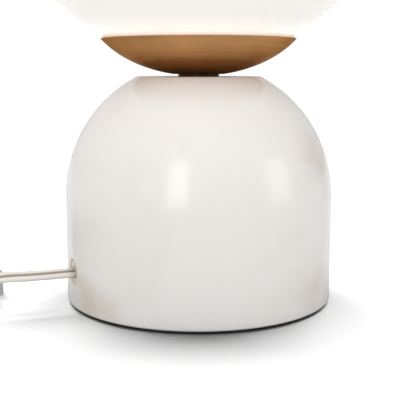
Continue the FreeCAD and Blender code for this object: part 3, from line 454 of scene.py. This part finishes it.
def cord_material(settings):
    """Clear skin over two pale cores; the attribute says how deep the groove is, where shade is painted."""
    shader = Shader("clear_twin_cord", settings.skin, 0.25)
    groove = shader.node("ShaderNodeAttribute", attribute_name="groove")
    strands = shader.node("ShaderNodeTexWave", wave_type="BANDS", Scale=140.0, Distortion=1.5)
    shader.link(shader.node("ShaderNodeAttribute", attribute_name="along").outputs["Vector"],
                strands.inputs["Vector"])
    skin = Vector(settings.skin)
    # Painted shade: the colour turns to the darker groove colour deeper in the groove between the cores.
    colour = shader.ramp(groove.outputs["Fac"], [(0.0, skin * 1.06), (0.3, skin), (0.75, settings.shadow),
                                                 (1.0, settings.shadow)])
    colour = shader.mix(0.06, colour, shader.ramp(strands.outputs["Fac"], [(0.2, skin * 0.93), (0.8, skin)]))
    shader.colour(colour)
    shader.set(Coat_Weight=0.6, Coat_Roughness=0.12, IOR=1.5, Specular_IOR_Level=0.5)
    return shader.material


def soft_clear_material(name, base, roughness=0.28):
    shader = Shader(name, base, roughness)
    cloud = shader.noise(160.0, detail=3.0)
    tone = Vector(base)
    shader.colour(shader.ramp(cloud, [(0.3, tone * 0.95), (0.7, tone * 1.04)]))
    shader.gloss(cloud, roughness * 0.8, roughness * 1.2)
    shader.set(Coat_Weight=0.4, Coat_Roughness=0.15, IOR=1.45)
    return shader.material


# ------------------------------------------------------------------ cord

# The route of the cord from the foot to the switch, in metres
LEAD_ROUTE = [
    (-0.0652, 0.0, 0.0184), (-0.082, 0.0, 0.0184), (-0.1005, 0.0036, 0.0190), (-0.119, 0.0060, 0.0160),
    (-0.138, 0.0056, 0.0114), (-0.1565, 0.0046, 0.0068), (-0.1735, 0.0067, 0.0038), (-0.1865, 0.0136, 0.0032),
    (-0.1954, 0.0250, 0.0046), (-0.199, 0.0395, 0.0065), (-0.199, 0.061, 0.0065)]
# From the switch to the coil
LINK_ROUTE = [
    (-0.199, 0.091, 0.0065), (-0.199, 0.111, 0.0065), (-0.201, 0.1275, 0.0056), (-0.1995, 0.144, 0.0044),
    (-0.192, 0.160, 0.0034), (-0.1825, 0.1712, 0.0031), (-0.1704, 0.1768, 0.0027)]
# From the coil to the plug
TAIL_ROUTE = [(-0.1086, 0.1105, 0.00715), (-0.1086, 0.101, 0.00685), (-0.1086, 0.091, 0.00685)]

COIL_CENTRE = Vector((-0.152, 0.1345, 0.0))
COIL_START_RADIUS = 0.042
COIL_PITCH = 0.0059
COIL_TURNS_IN = 3.25
COIL_TURNS_OUT = 3.5
COIL_START_ANGLE = 90.0
POINTS_PER_TURN = 16
CORD_REST = 0.0027


def coil_points():
    """Turns that wind in on the table, climb one layer and wind out again."""
    climb = 0.5
    total = COIL_TURNS_IN + climb + COIL_TURNS_OUT
    inner = COIL_START_RADIUS - COIL_PITCH * COIL_TURNS_IN
    widen = 1 / math.cos(math.pi / POINTS_PER_TURN)
    points = []
    for step in range(int(total * POINTS_PER_TURN) + 1):
        turn = step / POINTS_PER_TURN
        if turn <= COIL_TURNS_IN:
            radius, height = COIL_START_RADIUS - COIL_PITCH * turn, 0.0
        elif turn < COIL_TURNS_IN + climb:
            passed = turn - COIL_TURNS_IN
            radius, height = inner - COIL_PITCH * min(passed, climb - passed), COIL_PITCH * passed / climb
        else:
            radius, height = inner + COIL_PITCH * (turn - COIL_TURNS_IN - climb), COIL_PITCH
        angle = math.radians(COIL_START_ANGLE) - 2 * math.pi * turn
        reach = radius * widen
        points.append(COIL_CENTRE + Vector((reach * math.cos(angle), reach * math.sin(angle),
                                            CORD_REST + height)))
    return points


def cord_line():
    """The cord's middle as a smooth curve through its route, read back as points."""
    route = [Vector(p) for p in LEAD_ROUTE + LINK_ROUTE] + coil_points() + [Vector(p) for p in TAIL_ROUTE]
    curve = bpy.data.curves.new("cord_route", "CURVE")
    curve.dimensions = "3D"
    spline = curve.splines.new("NURBS")
    spline.points.add(len(route) - 1)
    for point, place in zip(spline.points, route):
        point.co = (*place, 1.0)
    spline.order_u = 3
    spline.use_endpoint_u = True
    spline.resolution_u = 8
    holder = bpy.data.objects.new("cord_route", curve)
    bpy.context.collection.objects.link(holder)
    mesh = evaluated_mesh(holder, "cord_points")
    points = [v.co.copy() for v in mesh.vertices]
    bpy.data.objects.remove(holder)
    bpy.data.meshes.remove(mesh)
    return points


def twin_section(width, count=20):
    """Outline of the flat cord: two round cores side by side, joined by a thin web.

    Each point also says how deep it lies in the groove; the angles are in degrees from the outer side."""
    core = width / 4
    web = 140
    groove_start = 100
    section = []
    for side in (1, -1):
        for i in range(count + 1):
            angle = math.radians(-web + 2 * web * i / count)
            across = side * (core + core * math.cos(angle))
            flat = side * core * math.sin(angle)
            depth = max(0.0, (abs(math.degrees(angle)) - groove_start) / (web - groove_start))
            section.append((across, flat, min(1.0, depth)))
    return section


def cord_mesh(points, settings):
    """Sweep the twin section along the cord; it leaves the foot turned and settles on edge."""
    section = twin_section(settings.width)
    mesh = bpy.data.meshes.new("twin_cord")
    bm = bmesh.new()
    groove = bm.verts.layers.float.new("groove")
    along = bm.verts.layers.float_vector.new("along")
    rings = []
    gone = 0.0
    settle = 0.11
    for i, place in enumerate(points):
        before = points[max(i - 1, 0)]
        after = points[min(i + 1, len(points) - 1)]
        tangent = (after - before).normalized()
        side = Vector((0, 0, 1)).cross(tangent).normalized()
        up = tangent.cross(side).normalized()
        gone += (place - before).length
        ease = max(0.0, 1 - gone / settle)
        roll = settings.first_roll * ease * ease * (3 - 2 * ease)
        wide = up * math.cos(roll) - side * math.sin(roll)
        thin = tangent.cross(wide).normalized()
        ring = []
        for across, flat, depth in section:
            vert = bm.verts.new(place + wide * across + thin * flat)
            vert[groove] = depth
            vert[along] = Vector((gone, across, 0))
            ring.append(vert)
        rings.append(ring)
    for low, high in zip(rings, rings[1:]):
        for i in range(len(section)):
            j = (i + 1) % len(section)
            bm.faces.new((low[i], low[j], high[j], high[i]))
    bm.faces.new(rings[0])
    bm.faces.new(rings[-1])
    bmesh.ops.recalc_face_normals(bm, faces=bm.faces)
    bm.to_mesh(mesh)
    bm.free()
    return mesh


class LAMP_OT_cord(bpy.types.Operator):
    """Lay the flat twin cord from the foot through the switch and the coil to the plug"""
    bl_idname = "lamp.cord"
    bl_label = "Twin cord"

    def execute(self, context):
        settings = context.scene.lamp_cord
        points = cord_line()
        obj = new_object("twin_cord", cord_mesh(points, settings), "lamp")
        finish_piece(obj, cord_material(settings), "clear_pvc",
                     "cord_lead", "cord_link", "cord_coil", "cord_tail")
        return {"FINISHED"}


# ------------------------------------------------------------------ foot

def ring_tool(outline, height):
    """A cutter or ring turned about the outlet's level axis; outline is (radius, depth from the axis)."""
    mesh = lathe("outlet_tool", outline, 64)
    for vert in mesh.vertices:
        x, y, z = vert.co
        vert.co = (z, y, height - x)
    return mesh


class LAMP_OT_foot(bpy.types.Operator):
    """Turn the marble foot, with its bore, chamber and outlet, and its pad"""
    bl_idname = "lamp.foot"
    bl_label = "Marble foot"

    def execute(self, context):
        s = context.scene.lamp_foot
        low, top = FOOT_LOW[2], FOOT_HIGH[2]
        roll = s.top_round
        ring_r = math.sqrt((s.radius - roll) ** 2 - (top - roll - s.dome_centre) ** 2)
        lean = math.degrees(math.atan2(top - roll - s.dome_centre, ring_r))
        outline = [(s.bore_radius, s.chamber_top), (s.chamber_radius, s.chamber_top), (s.chamber_radius, low)]
        outline += [(s.radius - s.edge_round * 4, low)]
        outline += arc_points((s.radius - s.edge_round, low + s.edge_round), s.edge_round, -90, 0, 6)
        outline += [(s.radius, low + (s.dome_centre - low) * i / 12) for i in range(1, 12)]
        outline += arc_points((0, s.dome_centre), s.radius, 0, lean, 40)
        outline += arc_points((ring_r, top - roll), roll, lean, 90, 6)[1:]
        outline += [(ring_r * 0.8, top), (s.bore_radius, top)]
        foot = new_object("marble_foot", lathe("marble_foot", outline, 256), "lamp")
        soft = 0.7 * MM
        wall = -s.radius
        seat = wall + s.outlet_depth
        recess = ring_tool([(0, seat), (s.outlet_radius, seat), (s.outlet_radius, wall + soft),
                            (s.outlet_radius + soft * 0.35, wall + soft * 0.35),
                            (s.outlet_radius + soft, wall + 0.05 * MM),
                            (s.outlet_radius + soft * 1.6, wall - soft),
                            (0, wall - soft)], s.outlet_height)
        channel_radius = 3.9 * MM
        channel = ring_tool([(0, seat - 1 * MM), (channel_radius, seat - 1 * MM),
                             (channel_radius, -s.chamber_radius * 0.8), (0, -s.chamber_radius * 0.8)],
                            s.outlet_height)
        carve(foot, [recess, channel])
        sharpen(foot, 40)
        finish_piece(foot, marble_material(s), "stone", "marble_base")
        self.pad()
        self.bushing(s)
        return {"FINISHED"}

    def pad(self):
        radius = PAD_HIGH[0]
        thick = PAD_HIGH[2]
        bulge = 0.25 * MM
        outline = [(0, 0), (radius - bulge * 2, 0), (radius - bulge * 0.5, thick * 0.15),
                   (radius, thick * 0.5), (radius - bulge * 0.5, thick * 0.85),
                   (radius - bulge * 2, thick), (0, thick)]
        pad = new_object("foam_pad", lathe("foam_pad", outline, 192, closed=False), "lamp")
        finish_piece(pad, plain_material("black_foam", (0.012, 0.012, 0.012), 0.85, scale=300.0, grain=0.4),
                     "pad", "foot_pad")

    def bushing(self, s):
        low, high = BUSHING_LOW[0], BUSHING_HIGH[0]
        hole = 2.8 * MM
        flange = s.outlet_radius - 0.1 * MM
        lip = 0.45 * MM
        seat = -s.radius + s.outlet_depth
        outline = [(hole, high), (hole, low + lip), (hole + lip * 0.4, low + lip * 0.2), (hole + lip, low),
                   (flange - lip * 1.6, low), (flange - lip * 0.4, low + lip * 0.35),
                   (flange, low + lip * 1.4),
                   (flange, seat), (3.8 * MM, seat), (3.5 * MM, high)]
        ring = new_object("outlet_bushing", ring_tool(outline, s.outlet_height), "lamp")
        sharpen(ring, 50)
        finish_piece(ring, soft_clear_material("translucent_ring", (0.66, 0.61, 0.53)), "clear_ring",
                     "cord_bushing")


# ------------------------------------------------------------------ bowl and globe

def bowl_outline(semi_width, semi_height, centre, start, end, count):
    """(radius, z) points of the bowl's ellipse between two radii."""
    first = math.acos(start / semi_width)
    last = math.acos(end / semi_width)
    points = []
    for i in range(count + 1):
        turn = first + (last - first) * i / count
        points.append((semi_width * math.cos(turn), centre - semi_height * math.sin(turn)))
    return points


class LAMP_OT_bowl(bpy.types.Operator):
    """Spin the brass bowl, with its thin rolled rim"""
    bl_idname = "lamp.bowl"
    bl_label = "Brass bowl"

    def execute(self, context):
        s = context.scene.lamp_metal
        bottom, rim = BOWL_LOW[2], BOWL_HIGH[2]
        rim_radius = BOWL_HIGH[0]
        centre = bottom + s.semi_height * math.sqrt(1 - (s.seat_radius / s.semi_width) ** 2)
        inner_w, inner_h = s.semi_width - s.wall, s.semi_height - s.wall
        floor = bottom + s.wall
        inner_seat = inner_w * math.sqrt(1 - ((centre - floor) / inner_h) ** 2)
        inner_rim = inner_w * math.sqrt(1 - ((centre - rim) / inner_h) ** 2)
        outer = bowl_outline(s.semi_width, s.semi_height, centre, s.seat_radius, rim_radius, 40)
        inner = bowl_outline(inner_w, inner_h, centre, inner_rim, inner_seat, 32)
        width = rim_radius - inner_rim
        edge = [(rim_radius - width * 0.06, rim + 0.0), (rim_radius - width * 0.3, rim + 0.12 * MM),
                (inner_rim + width * 0.3, rim + 0.12 * MM), (inner_rim + width * 0.05, rim)]
        outline = [(s.hole_radius, bottom)] + outer + edge + inner + [(s.hole_radius, floor)]
        bowl = new_object("spun_bowl", lathe("spun_bowl", outline, 256), "lamp")
        sharpen(bowl, 35)
        finish_piece(bowl, brass_material(s), "brass", "brass_bowl")
        return {"FINISHED"}


class LAMP_OT_globe(bpy.types.Operator):
    """Blow the opal globe, open below with a fire-polished lip"""
    bl_idname = "lamp.globe"
    bl_label = "Opal globe"

    def execute(self, context):
        s = context.scene.lamp_glass
        centre = GLOBE_HIGH[2] - s.radius
        inside = s.radius - s.wall
        outer_end = -math.degrees(math.acos((s.mouth + 1.3 * MM) / s.radius))
        inner_end = -math.degrees(math.acos((s.mouth + 0.9 * MM) / inside))
        outer = arc_points((0, centre), s.radius, 90, outer_end, 96)
        inner = arc_points((0, centre), inside, inner_end, 90, 80)
        low = Vector(outer[-1])
        high = Vector(inner[0])
        lip = []
        lip_steps = 5
        middle = Vector((s.mouth - 0.35 * MM, (low.y + high.y) / 2))
        for i in range(1, lip_steps):
            t = i / lip_steps
            lip.append(tuple(low * (1 - t) ** 2 + middle * 2 * t * (1 - t) + high * t * t))
        outline = [(0, centre + s.radius)] + outer[1:] + lip + inner[:-1] + [(0, centre + inside)]
        globe = new_object("opal_globe", lathe("opal_globe", outline, 192, closed=False), "globe")
        finish_piece(globe, opal_material(s), "opal_glass", "glass_globe")
        return {"FINISHED"}


# ------------------------------------------------------------------ repeated pieces

def node_tree(name, inputs):
    """An empty geometry tree with named inputs and a geometry output."""
    tree = bpy.data.node_groups.new(name, "GeometryNodeTree")
    sockets = {}
    for label, kind, value in inputs:
        socket = tree.interface.new_socket(name=label, in_out="INPUT", socket_type=kind)
        if value is not None:
            socket.default_value = value
        sockets[label] = socket.identifier
    tree.interface.new_socket(name="Geometry", in_out="OUTPUT", socket_type="NodeSocketGeometry")
    return tree, tree.nodes.new("NodeGroupInput"), tree.nodes.new("NodeGroupOutput"), sockets


def ring_tree(material):
    """Small blocks standing on a circle, all facing its middle."""
    tree, given, result, sockets = node_tree("blocks_on_ring", [
        ("Count", "NodeSocketInt", 12), ("Radius", "NodeSocketFloat", 0.016),
        ("Height", "NodeSocketFloat", 0.0), ("Size", "NodeSocketVector", (0.003, 0.003, 0.0008))])
    circle = tree.nodes.new("GeometryNodeMeshCircle")
    place = tree.nodes.new("GeometryNodeTransform")
    lift = tree.nodes.new("ShaderNodeCombineXYZ")
    cube = tree.nodes.new("GeometryNodeMeshCube")
    cube.inputs["Vertices X"].default_value = 3
    cube.inputs["Vertices Y"].default_value = 3
    spread = tree.nodes.new("GeometryNodeInstanceOnPoints")
    index = tree.nodes.new("GeometryNodeInputIndex")
    angle = tree.nodes.new("ShaderNodeMath")
    angle.operation = "MULTIPLY"
    step = tree.nodes.new("ShaderNodeMath")
    step.operation = "DIVIDE"
    step.inputs[0].default_value = 2 * math.pi
    turn = tree.nodes.new("ShaderNodeCombineXYZ")
    realize = tree.nodes.new("GeometryNodeRealizeInstances")
    paint = tree.nodes.new("GeometryNodeSetMaterial")
    paint.inputs["Material"].default_value = material
    link = tree.links.new
    link(given.outputs["Count"], circle.inputs["Vertices"])
    link(given.outputs["Radius"], circle.inputs["Radius"])
    link(given.outputs["Height"], lift.inputs["Z"])
    link(circle.outputs["Mesh"], place.inputs["Geometry"])
    link(lift.outputs["Vector"], place.inputs["Translation"])
    link(place.outputs["Geometry"], spread.inputs["Points"])
    link(given.outputs["Size"], cube.inputs["Size"])
    link(cube.outputs["Mesh"], spread.inputs["Instance"])
    link(given.outputs["Count"], step.inputs[1])
    link(index.outputs["Index"], angle.inputs[0])
    link(step.outputs["Value"], angle.inputs[1])
    link(angle.outputs["Value"], turn.inputs["Z"])
    link(turn.outputs["Vector"], spread.inputs["Rotation"])
    link(spread.outputs["Instances"], realize.inputs["Geometry"])
    link(realize.outputs["Geometry"], paint.inputs["Geometry"])
    link(paint.outputs["Geometry"], result.inputs["Geometry"])
    return tree, sockets


def grown_mesh(name, tree, sockets, values):
    """Run a geometry tree once and keep what it makes as a plain mesh."""
    holder = bpy.data.objects.new(name, bpy.data.meshes.new(name + "_seed"))
    bpy.context.collection.objects.link(holder)
    modifier = holder.modifiers.new("grow", "NODES")
    modifier.node_group = tree
    for label, value in values.items():
        modifier[sockets[label]] = value
    mesh = evaluated_mesh(holder, name)
    bpy.data.objects.remove(holder)
    return mesh


class LAMP_OT_bulb(bpy.types.Operator):
    """Finish the bulb: envelope, collar, cap, board and its ring of chips"""
    bl_idname = "lamp.bulb"
    bl_label = "Bulb"

    chip_count: bpy.props.IntProperty(name="Chips", description="Number of chips on the ring", default=12,
                                      min=3)
    ring_radius: length_setting("Ring", "Radius of the ring of chips", 16.0 * MM)

    def execute(self, context):
        chips_paint = plain_material("phosphor_chips", (0.80, 0.52, 0.08), 0.3, scale=400.0)
        tree, sockets = ring_tree(chips_paint)
        size = (3.0 * MM, 3.0 * MM, CHIPS_HIGH[2] - CHIPS_LOW[2])
        mesh = grown_mesh("chip_ring", tree, sockets, {
            "Count": self.chip_count, "Radius": self.ring_radius,
            "Height": (CHIPS_LOW[2] + CHIPS_HIGH[2]) / 2, "Size": size})
        chips = new_object("chip_ring", mesh, "bulb")
        for polygon in mesh.polygons:
            polygon.use_smooth = False
        finish_piece(chips, chips_paint, "led_yellow", "led_chips")
        dress("bulb_envelope", plain_material("bulb_opal", (0.82, 0.81, 0.78), 0.28, scale=40.0, vary=0.02,
                                              grain=0.02))
        dress("bulb_collar", plain_material("bulb_plastic", (0.80, 0.80, 0.78), 0.42, vary=0.02))
        dress("bulb_screw_cap", plain_material("bulb_nickel", (0.62, 0.60, 0.56), 0.25, 1.0))
        dress("bulb_tip", plain_material("bulb_solder", (0.52, 0.51, 0.49), 0.4, 1.0))
        dress("bulb_insulator", plain_material("black_glass", (0.01, 0.01, 0.013), 0.12))
        dress("led_board", plain_material("white_board", (0.78, 0.79, 0.77), 0.45))
        dress("driver_board", plain_material("green_board", (0.02, 0.13, 0.05), 0.4))
        return {"FINISHED"}


class LAMP_OT_holder(bpy.types.Operator):
    """Finish the lampholder and the hardware on the hollow rod"""
    bl_idname = "lamp.holder"
    bl_label = "Lampholder and rod"

    def execute(self, context):
        black = plain_material("black_bakelite", (0.014, 0.014, 0.015), 0.38)
        zinc = plain_material("zinc_plate", (0.55, 0.55, 0.53), 0.34, 1.0, scale=80.0)
        contact = plain_material("contact_brass", (0.60, 0.42, 0.17), 0.3, 1.0)
        warm = soft_clear_material("clear_silicone", (0.86, 0.74, 0.62))
        bronze = plain_material("dark_bronze", (0.05, 0.025, 0.012), 0.45, 0.6)
        finishes = {
            black: ("holder_cap", "holder_shell", "cord_tie", "pin_sleeves"),
            zinc: ("base_washer", "lock_washer", "base_nut", "threaded_rod", "bowl_washer", "bowl_nut",
                   "lock_screw", "switch_screws"),
            contact: ("terminal_screws", "centre_contact", "side_contact", "switch_contacts",
                      "contact_bridge"),
            warm: ("seat_ring",),
            bronze: ("bowl_spacer",),
        }
        for material, nodes in finishes.items():
            for node in nodes:
                dress(node, material)
        dress("holder_insert", plain_material("steatite", (0.76, 0.74, 0.69), 0.5, scale=60.0))
        dress("inner_cord", plain_material("inner_cord_skin", (0.60, 0.55, 0.49), 0.3))
        dress("live_core", plain_material("brown_core", (0.08, 0.03, 0.015), 0.4))
        dress("neutral_core", plain_material("blue_core", (0.02, 0.06, 0.25), 0.4))
        return {"FINISHED"}


class LAMP_OT_fittings(bpy.types.Operator):
    """Finish the switch in the cord and the plug"""
    bl_idname = "lamp.fittings"
    bl_label = "Switch and plug"

    def execute(self, context):
        case = soft_clear_material("clear_case", (0.66, 0.63, 0.58), 0.3)
        for node in ("switch_lower", "switch_upper", "plug_relief", "plug_body"):
            dress(node, case)
        dress("switch_rocker", plain_material("key_gloss", (0.74, 0.73, 0.70), 0.25, grain=0.02))
        dress("plug_pins", plain_material("nickel_pins", (0.66, 0.63, 0.58), 0.2, 1.0))
        return {"FINISHED"}


# ------------------------------------------------------------------ camera, floor and lights

# Width of the photograph's frame
FRAME_PIXELS = 400.0


def camera_frame(s):
    """Camera place, level view direction and the direction to the image's right."""
    away = Vector((math.sin(s.azimuth), -math.cos(s.azimuth), 0))
    forward = -away
    right = Vector((forward.y, -forward.x, 0))
    return away * s.distance + Vector((0, 0, s.eye_height)), forward, right


class LAMP_OT_camera(bpy.types.Operator):
    """Stand the camera where the photograph was taken from"""
    bl_idname = "lamp.camera"
    bl_label = "Camera"

    def execute(self, context):
        s = context.scene.lamp_stage
        place, forward, right = camera_frame(s)
        data = bpy.data.cameras.new("photo_camera")
        data.sensor_width = 36.0
        data.lens = data.sensor_width * s.focal_pixels / FRAME_PIXELS
        data.clip_start = 0.01
        camera = bpy.data.objects.new("photo_camera", data)
        context.collection.objects.link(camera)
        yaw = math.atan((FRAME_PIXELS / 2 - s.axis_pixel) / s.focal_pixels)
        aim = forward * math.cos(yaw) + right * math.sin(yaw)
        aim = aim * math.cos(s.pitch) + Vector((0, 0, -math.sin(s.pitch)))
        camera.location = place
        camera.rotation_euler = aim.to_track_quat("-Z", "Y").to_euler()
        context.scene.camera = camera
        return {"FINISHED"}


def light(name, kind, place, target, power):
    data = bpy.data.lights.new(name, kind)
    data.energy = power
    obj = bpy.data.objects.new(name, data)
    bpy.context.collection.objects.link(obj)
    obj.location = place
    obj.rotation_euler = (Vector(target) - Vector(place)).to_track_quat("-Z", "Y").to_euler()
    return obj


def bearing_way(bearing):
    """Level direction, in degrees from the camera's side, positive to the right."""
    forward, right = camera_frame(bpy.context.scene.lamp_stage)[1:]
    turn = math.radians(bearing)
    return right * math.sin(turn) - forward * math.cos(turn)


def linked(name, obj, state="INCLUDE"):
    """A list for a light that holds one object, to light it alone or to leave it out."""
    only = bpy.data.collections.new(name)
    only.objects.link(obj)
    only.collection_objects[0].light_linking.link_state = state
    return only


# Where the soft boxes point, how far the floor reaches, and how white the room looks
AIM_HEIGHT = 0.07
FLOOR_RADIUS = 9.0
ROOM_WHITE = 1.05


def soft_box(name, bearing, distance, height, size, power, receivers):
    """An upright panel that lights the lamp and leaves the floor's shadow alone."""
    obj = light(name, "AREA", bearing_way(bearing) * distance + Vector((0, 0, height)), (0, 0, AIM_HEIGHT),
                power)
    obj.data.shape = "RECTANGLE"
    obj.data.size, obj.data.size_y = size
    obj.light_linking.receiver_collection = receivers


def wide_sun(name, bearing, lean, angle, power, receivers):
    """Wide light on chosen pieces alone; lean is its level share against its height."""
    obj = light(name, "SUN", bearing_way(bearing) * lean + Vector((0, 0, 1)), (0, 0, 0), power)
    obj.data.angle = math.radians(angle)
    obj.light_linking.receiver_collection = receivers
    obj.visible_glossy = False


class LAMP_OT_stage(bpy.types.Operator):
    """White floor and soft studio light"""
    bl_idname = "lamp.stage"
    bl_label = "Floor and light"

    def execute(self, context):
        s = context.scene.lamp_stage
        floor = self.floor(s)
        on_floor = linked("on_floor", floor)
        off_floor = linked("off_floor", floor, "EXCLUDE")
        wide_sun("floor_sky", bearing=0, lean=0.03, angle=22, power=s.floor_sky, receivers=on_floor)
        for name, bearing in (("floor_left", -140), ("floor_right", 140)):
            wide_sun(name, bearing, lean=0.8, angle=40, power=s.floor_sides, receivers=on_floor)
        wide_sun("front_lift", bearing=0, lean=1.2, angle=70, power=s.front_lift, receivers=off_floor)
        soft_box("left_box", bearing=-17, distance=1.25, height=0.36, size=(0.36, 0.95), power=s.left_box,
                 receivers=off_floor)
        soft_box("right_box", bearing=70, distance=1.2, height=0.32, size=(0.5, 0.62), power=s.right_box,
                 receivers=off_floor)
        self.world(context, bearing_way(90))
        context.scene.view_settings.view_transform = "Standard"
        return {"FINISHED"}

    def floor(self, s):
        """A wide disc, white where it is seen and darker as a light on the lamp."""
        mesh = bpy.data.meshes.new("floor")
        bm = bmesh.new()
        bmesh.ops.create_circle(bm, cap_ends=True, cap_tris=False, segments=64, radius=FLOOR_RADIUS)
        bm.to_mesh(mesh)
        bm.free()
        obj = bpy.data.objects.new("floor", mesh)
        bpy.context.collection.objects.link(obj)
        material = bpy.data.materials.new("white_floor")
        material.use_nodes = True
        tree = material.node_tree
        link = tree.links.new
        rays = tree.nodes.new("ShaderNodeLightPath")
        mirrored = tree.nodes.new("ShaderNodeMath")
        mirrored.operation = "MULTIPLY"
        mirrored.inputs[1].default_value = s.floor_mirror
        bounce = tree.nodes.new("ShaderNodeMath")
        bounce.operation = "MAXIMUM"
        tone = tree.nodes.new("ShaderNodeMapRange")
        tone.inputs["To Min"].default_value = s.floor_tone
        tone.inputs["To Max"].default_value = s.floor_tone * s.floor_bounce
        surface = tree.nodes["Principled BSDF"]
        surface.inputs["Roughness"].default_value = 1.0
        surface.inputs["Specular IOR Level"].default_value = 0.0
        link(rays.outputs["Is Diffuse Ray"], bounce.inputs[0])
        link(rays.outputs["Is Glossy Ray"], mirrored.inputs[0])
        link(mirrored.outputs["Value"], bounce.inputs[1])
        link(bounce.outputs["Value"], tone.inputs["Value"])
        link(tone.outputs["Result"], surface.inputs["Base Color"])
        mesh.materials.append(material)
        return obj

    def world(self, context, right):
        """White where it is seen; as light, brighter on the left than on the right."""
        s = context.scene.lamp_stage
        world = bpy.data.worlds.new("studio")
        context.scene.world = world
        world.use_nodes = True
        tree = world.node_tree
        tree.nodes.clear()
        link = tree.links.new
        place = tree.nodes.new("ShaderNodeTexCoord")
        side = tree.nodes.new("ShaderNodeVectorMath")
        side.operation = "DOT_PRODUCT"
        side.inputs[1].default_value = right
        link(place.outputs["Generated"], side.inputs[0])
        across = tree.nodes.new("ShaderNodeMapRange")
        across.interpolation_type = "SMOOTHSTEP"
        across.inputs["From Min"].default_value = -0.3
        across.inputs["From Max"].default_value = 0.9
        across.inputs["To Min"].default_value = s.fill_left
        across.inputs["To Max"].default_value = s.fill_right
        link(side.outputs["Value"], across.inputs["Value"])
        rays = tree.nodes.new("ShaderNodeLightPath")
        fill = tree.nodes.new("ShaderNodeBackground")
        fill.inputs["Color"].default_value = (1, 1, 1, 1)
        link(across.outputs["Result"], fill.inputs["Strength"])
        white = tree.nodes.new("ShaderNodeBackground")
        white.inputs["Color"].default_value = (1, 1, 1, 1)
        white.inputs["Strength"].default_value = ROOM_WHITE
        seen = tree.nodes.new("ShaderNodeMath")
        seen.operation = "MAXIMUM"
        link(rays.outputs["Is Camera Ray"], seen.inputs[0])
        link(rays.outputs["Is Transmission Ray"], seen.inputs[1])
        mix = tree.nodes.new("ShaderNodeMixShader")
        output = tree.nodes.new("ShaderNodeOutputWorld")
        link(seen.outputs["Value"], mix.inputs["Fac"])
        link(fill.outputs["Background"], mix.inputs[1])
        link(white.outputs["Background"], mix.inputs[2])
        link(mix.outputs["Shader"], output.inputs["Surface"])


class LAMP_PT_panel(bpy.types.Panel):
    """Everything that dresses the lamp"""
    bl_idname = "LAMP_PT_panel"
    bl_label = "Globe lamp"
    bl_space_type = "VIEW_3D"
    bl_region_type = "UI"
    bl_category = "Lamp"

    def draw(self, context):
        for operator in STEPS:
            self.layout.operator(operator.bl_idname)
        for group in ("lamp_foot", "lamp_metal", "lamp_glass", "lamp_cord", "lamp_stage"):
            settings = getattr(context.scene, group)
            for name in settings.bl_rna.properties.keys():
                if name not in ("rna_type", "name"):
                    self.layout.prop(settings, name)


STEPS = (LAMP_OT_camera, LAMP_OT_cord, LAMP_OT_foot, LAMP_OT_bowl, LAMP_OT_globe, LAMP_OT_bulb,
         LAMP_OT_holder, LAMP_OT_fittings, LAMP_OT_stage)
GROUPS = {"lamp_foot": LampFootSettings, "lamp_metal": LampMetalSettings, "lamp_glass": LampGlassSettings,
          "lamp_cord": LampCordSettings, "lamp_stage": LampStageSettings}


def register():
    for cls in (*GROUPS.values(), *STEPS, LAMP_PT_panel):
        bpy.utils.register_class(cls)
    for name, cls in GROUPS.items():
        setattr(bpy.types.Scene, name, bpy.props.PointerProperty(type=cls))


def unregister():
    for name in GROUPS:
        delattr(bpy.types.Scene, name)
    for cls in (LAMP_PT_panel, *reversed(STEPS), *reversed(GROUPS.values())):
        bpy.utils.unregister_class(cls)


def main():
    register()
    bpy.ops.lamp.camera()
    bpy.ops.lamp.cord()
    bpy.ops.lamp.foot()
    bpy.ops.lamp.bowl()
    bpy.ops.lamp.globe()
    bpy.ops.lamp.bulb()
    bpy.ops.lamp.holder()
    bpy.ops.lamp.fittings()
    bpy.ops.lamp.stage()


if __name__ == "__main__":
    main()
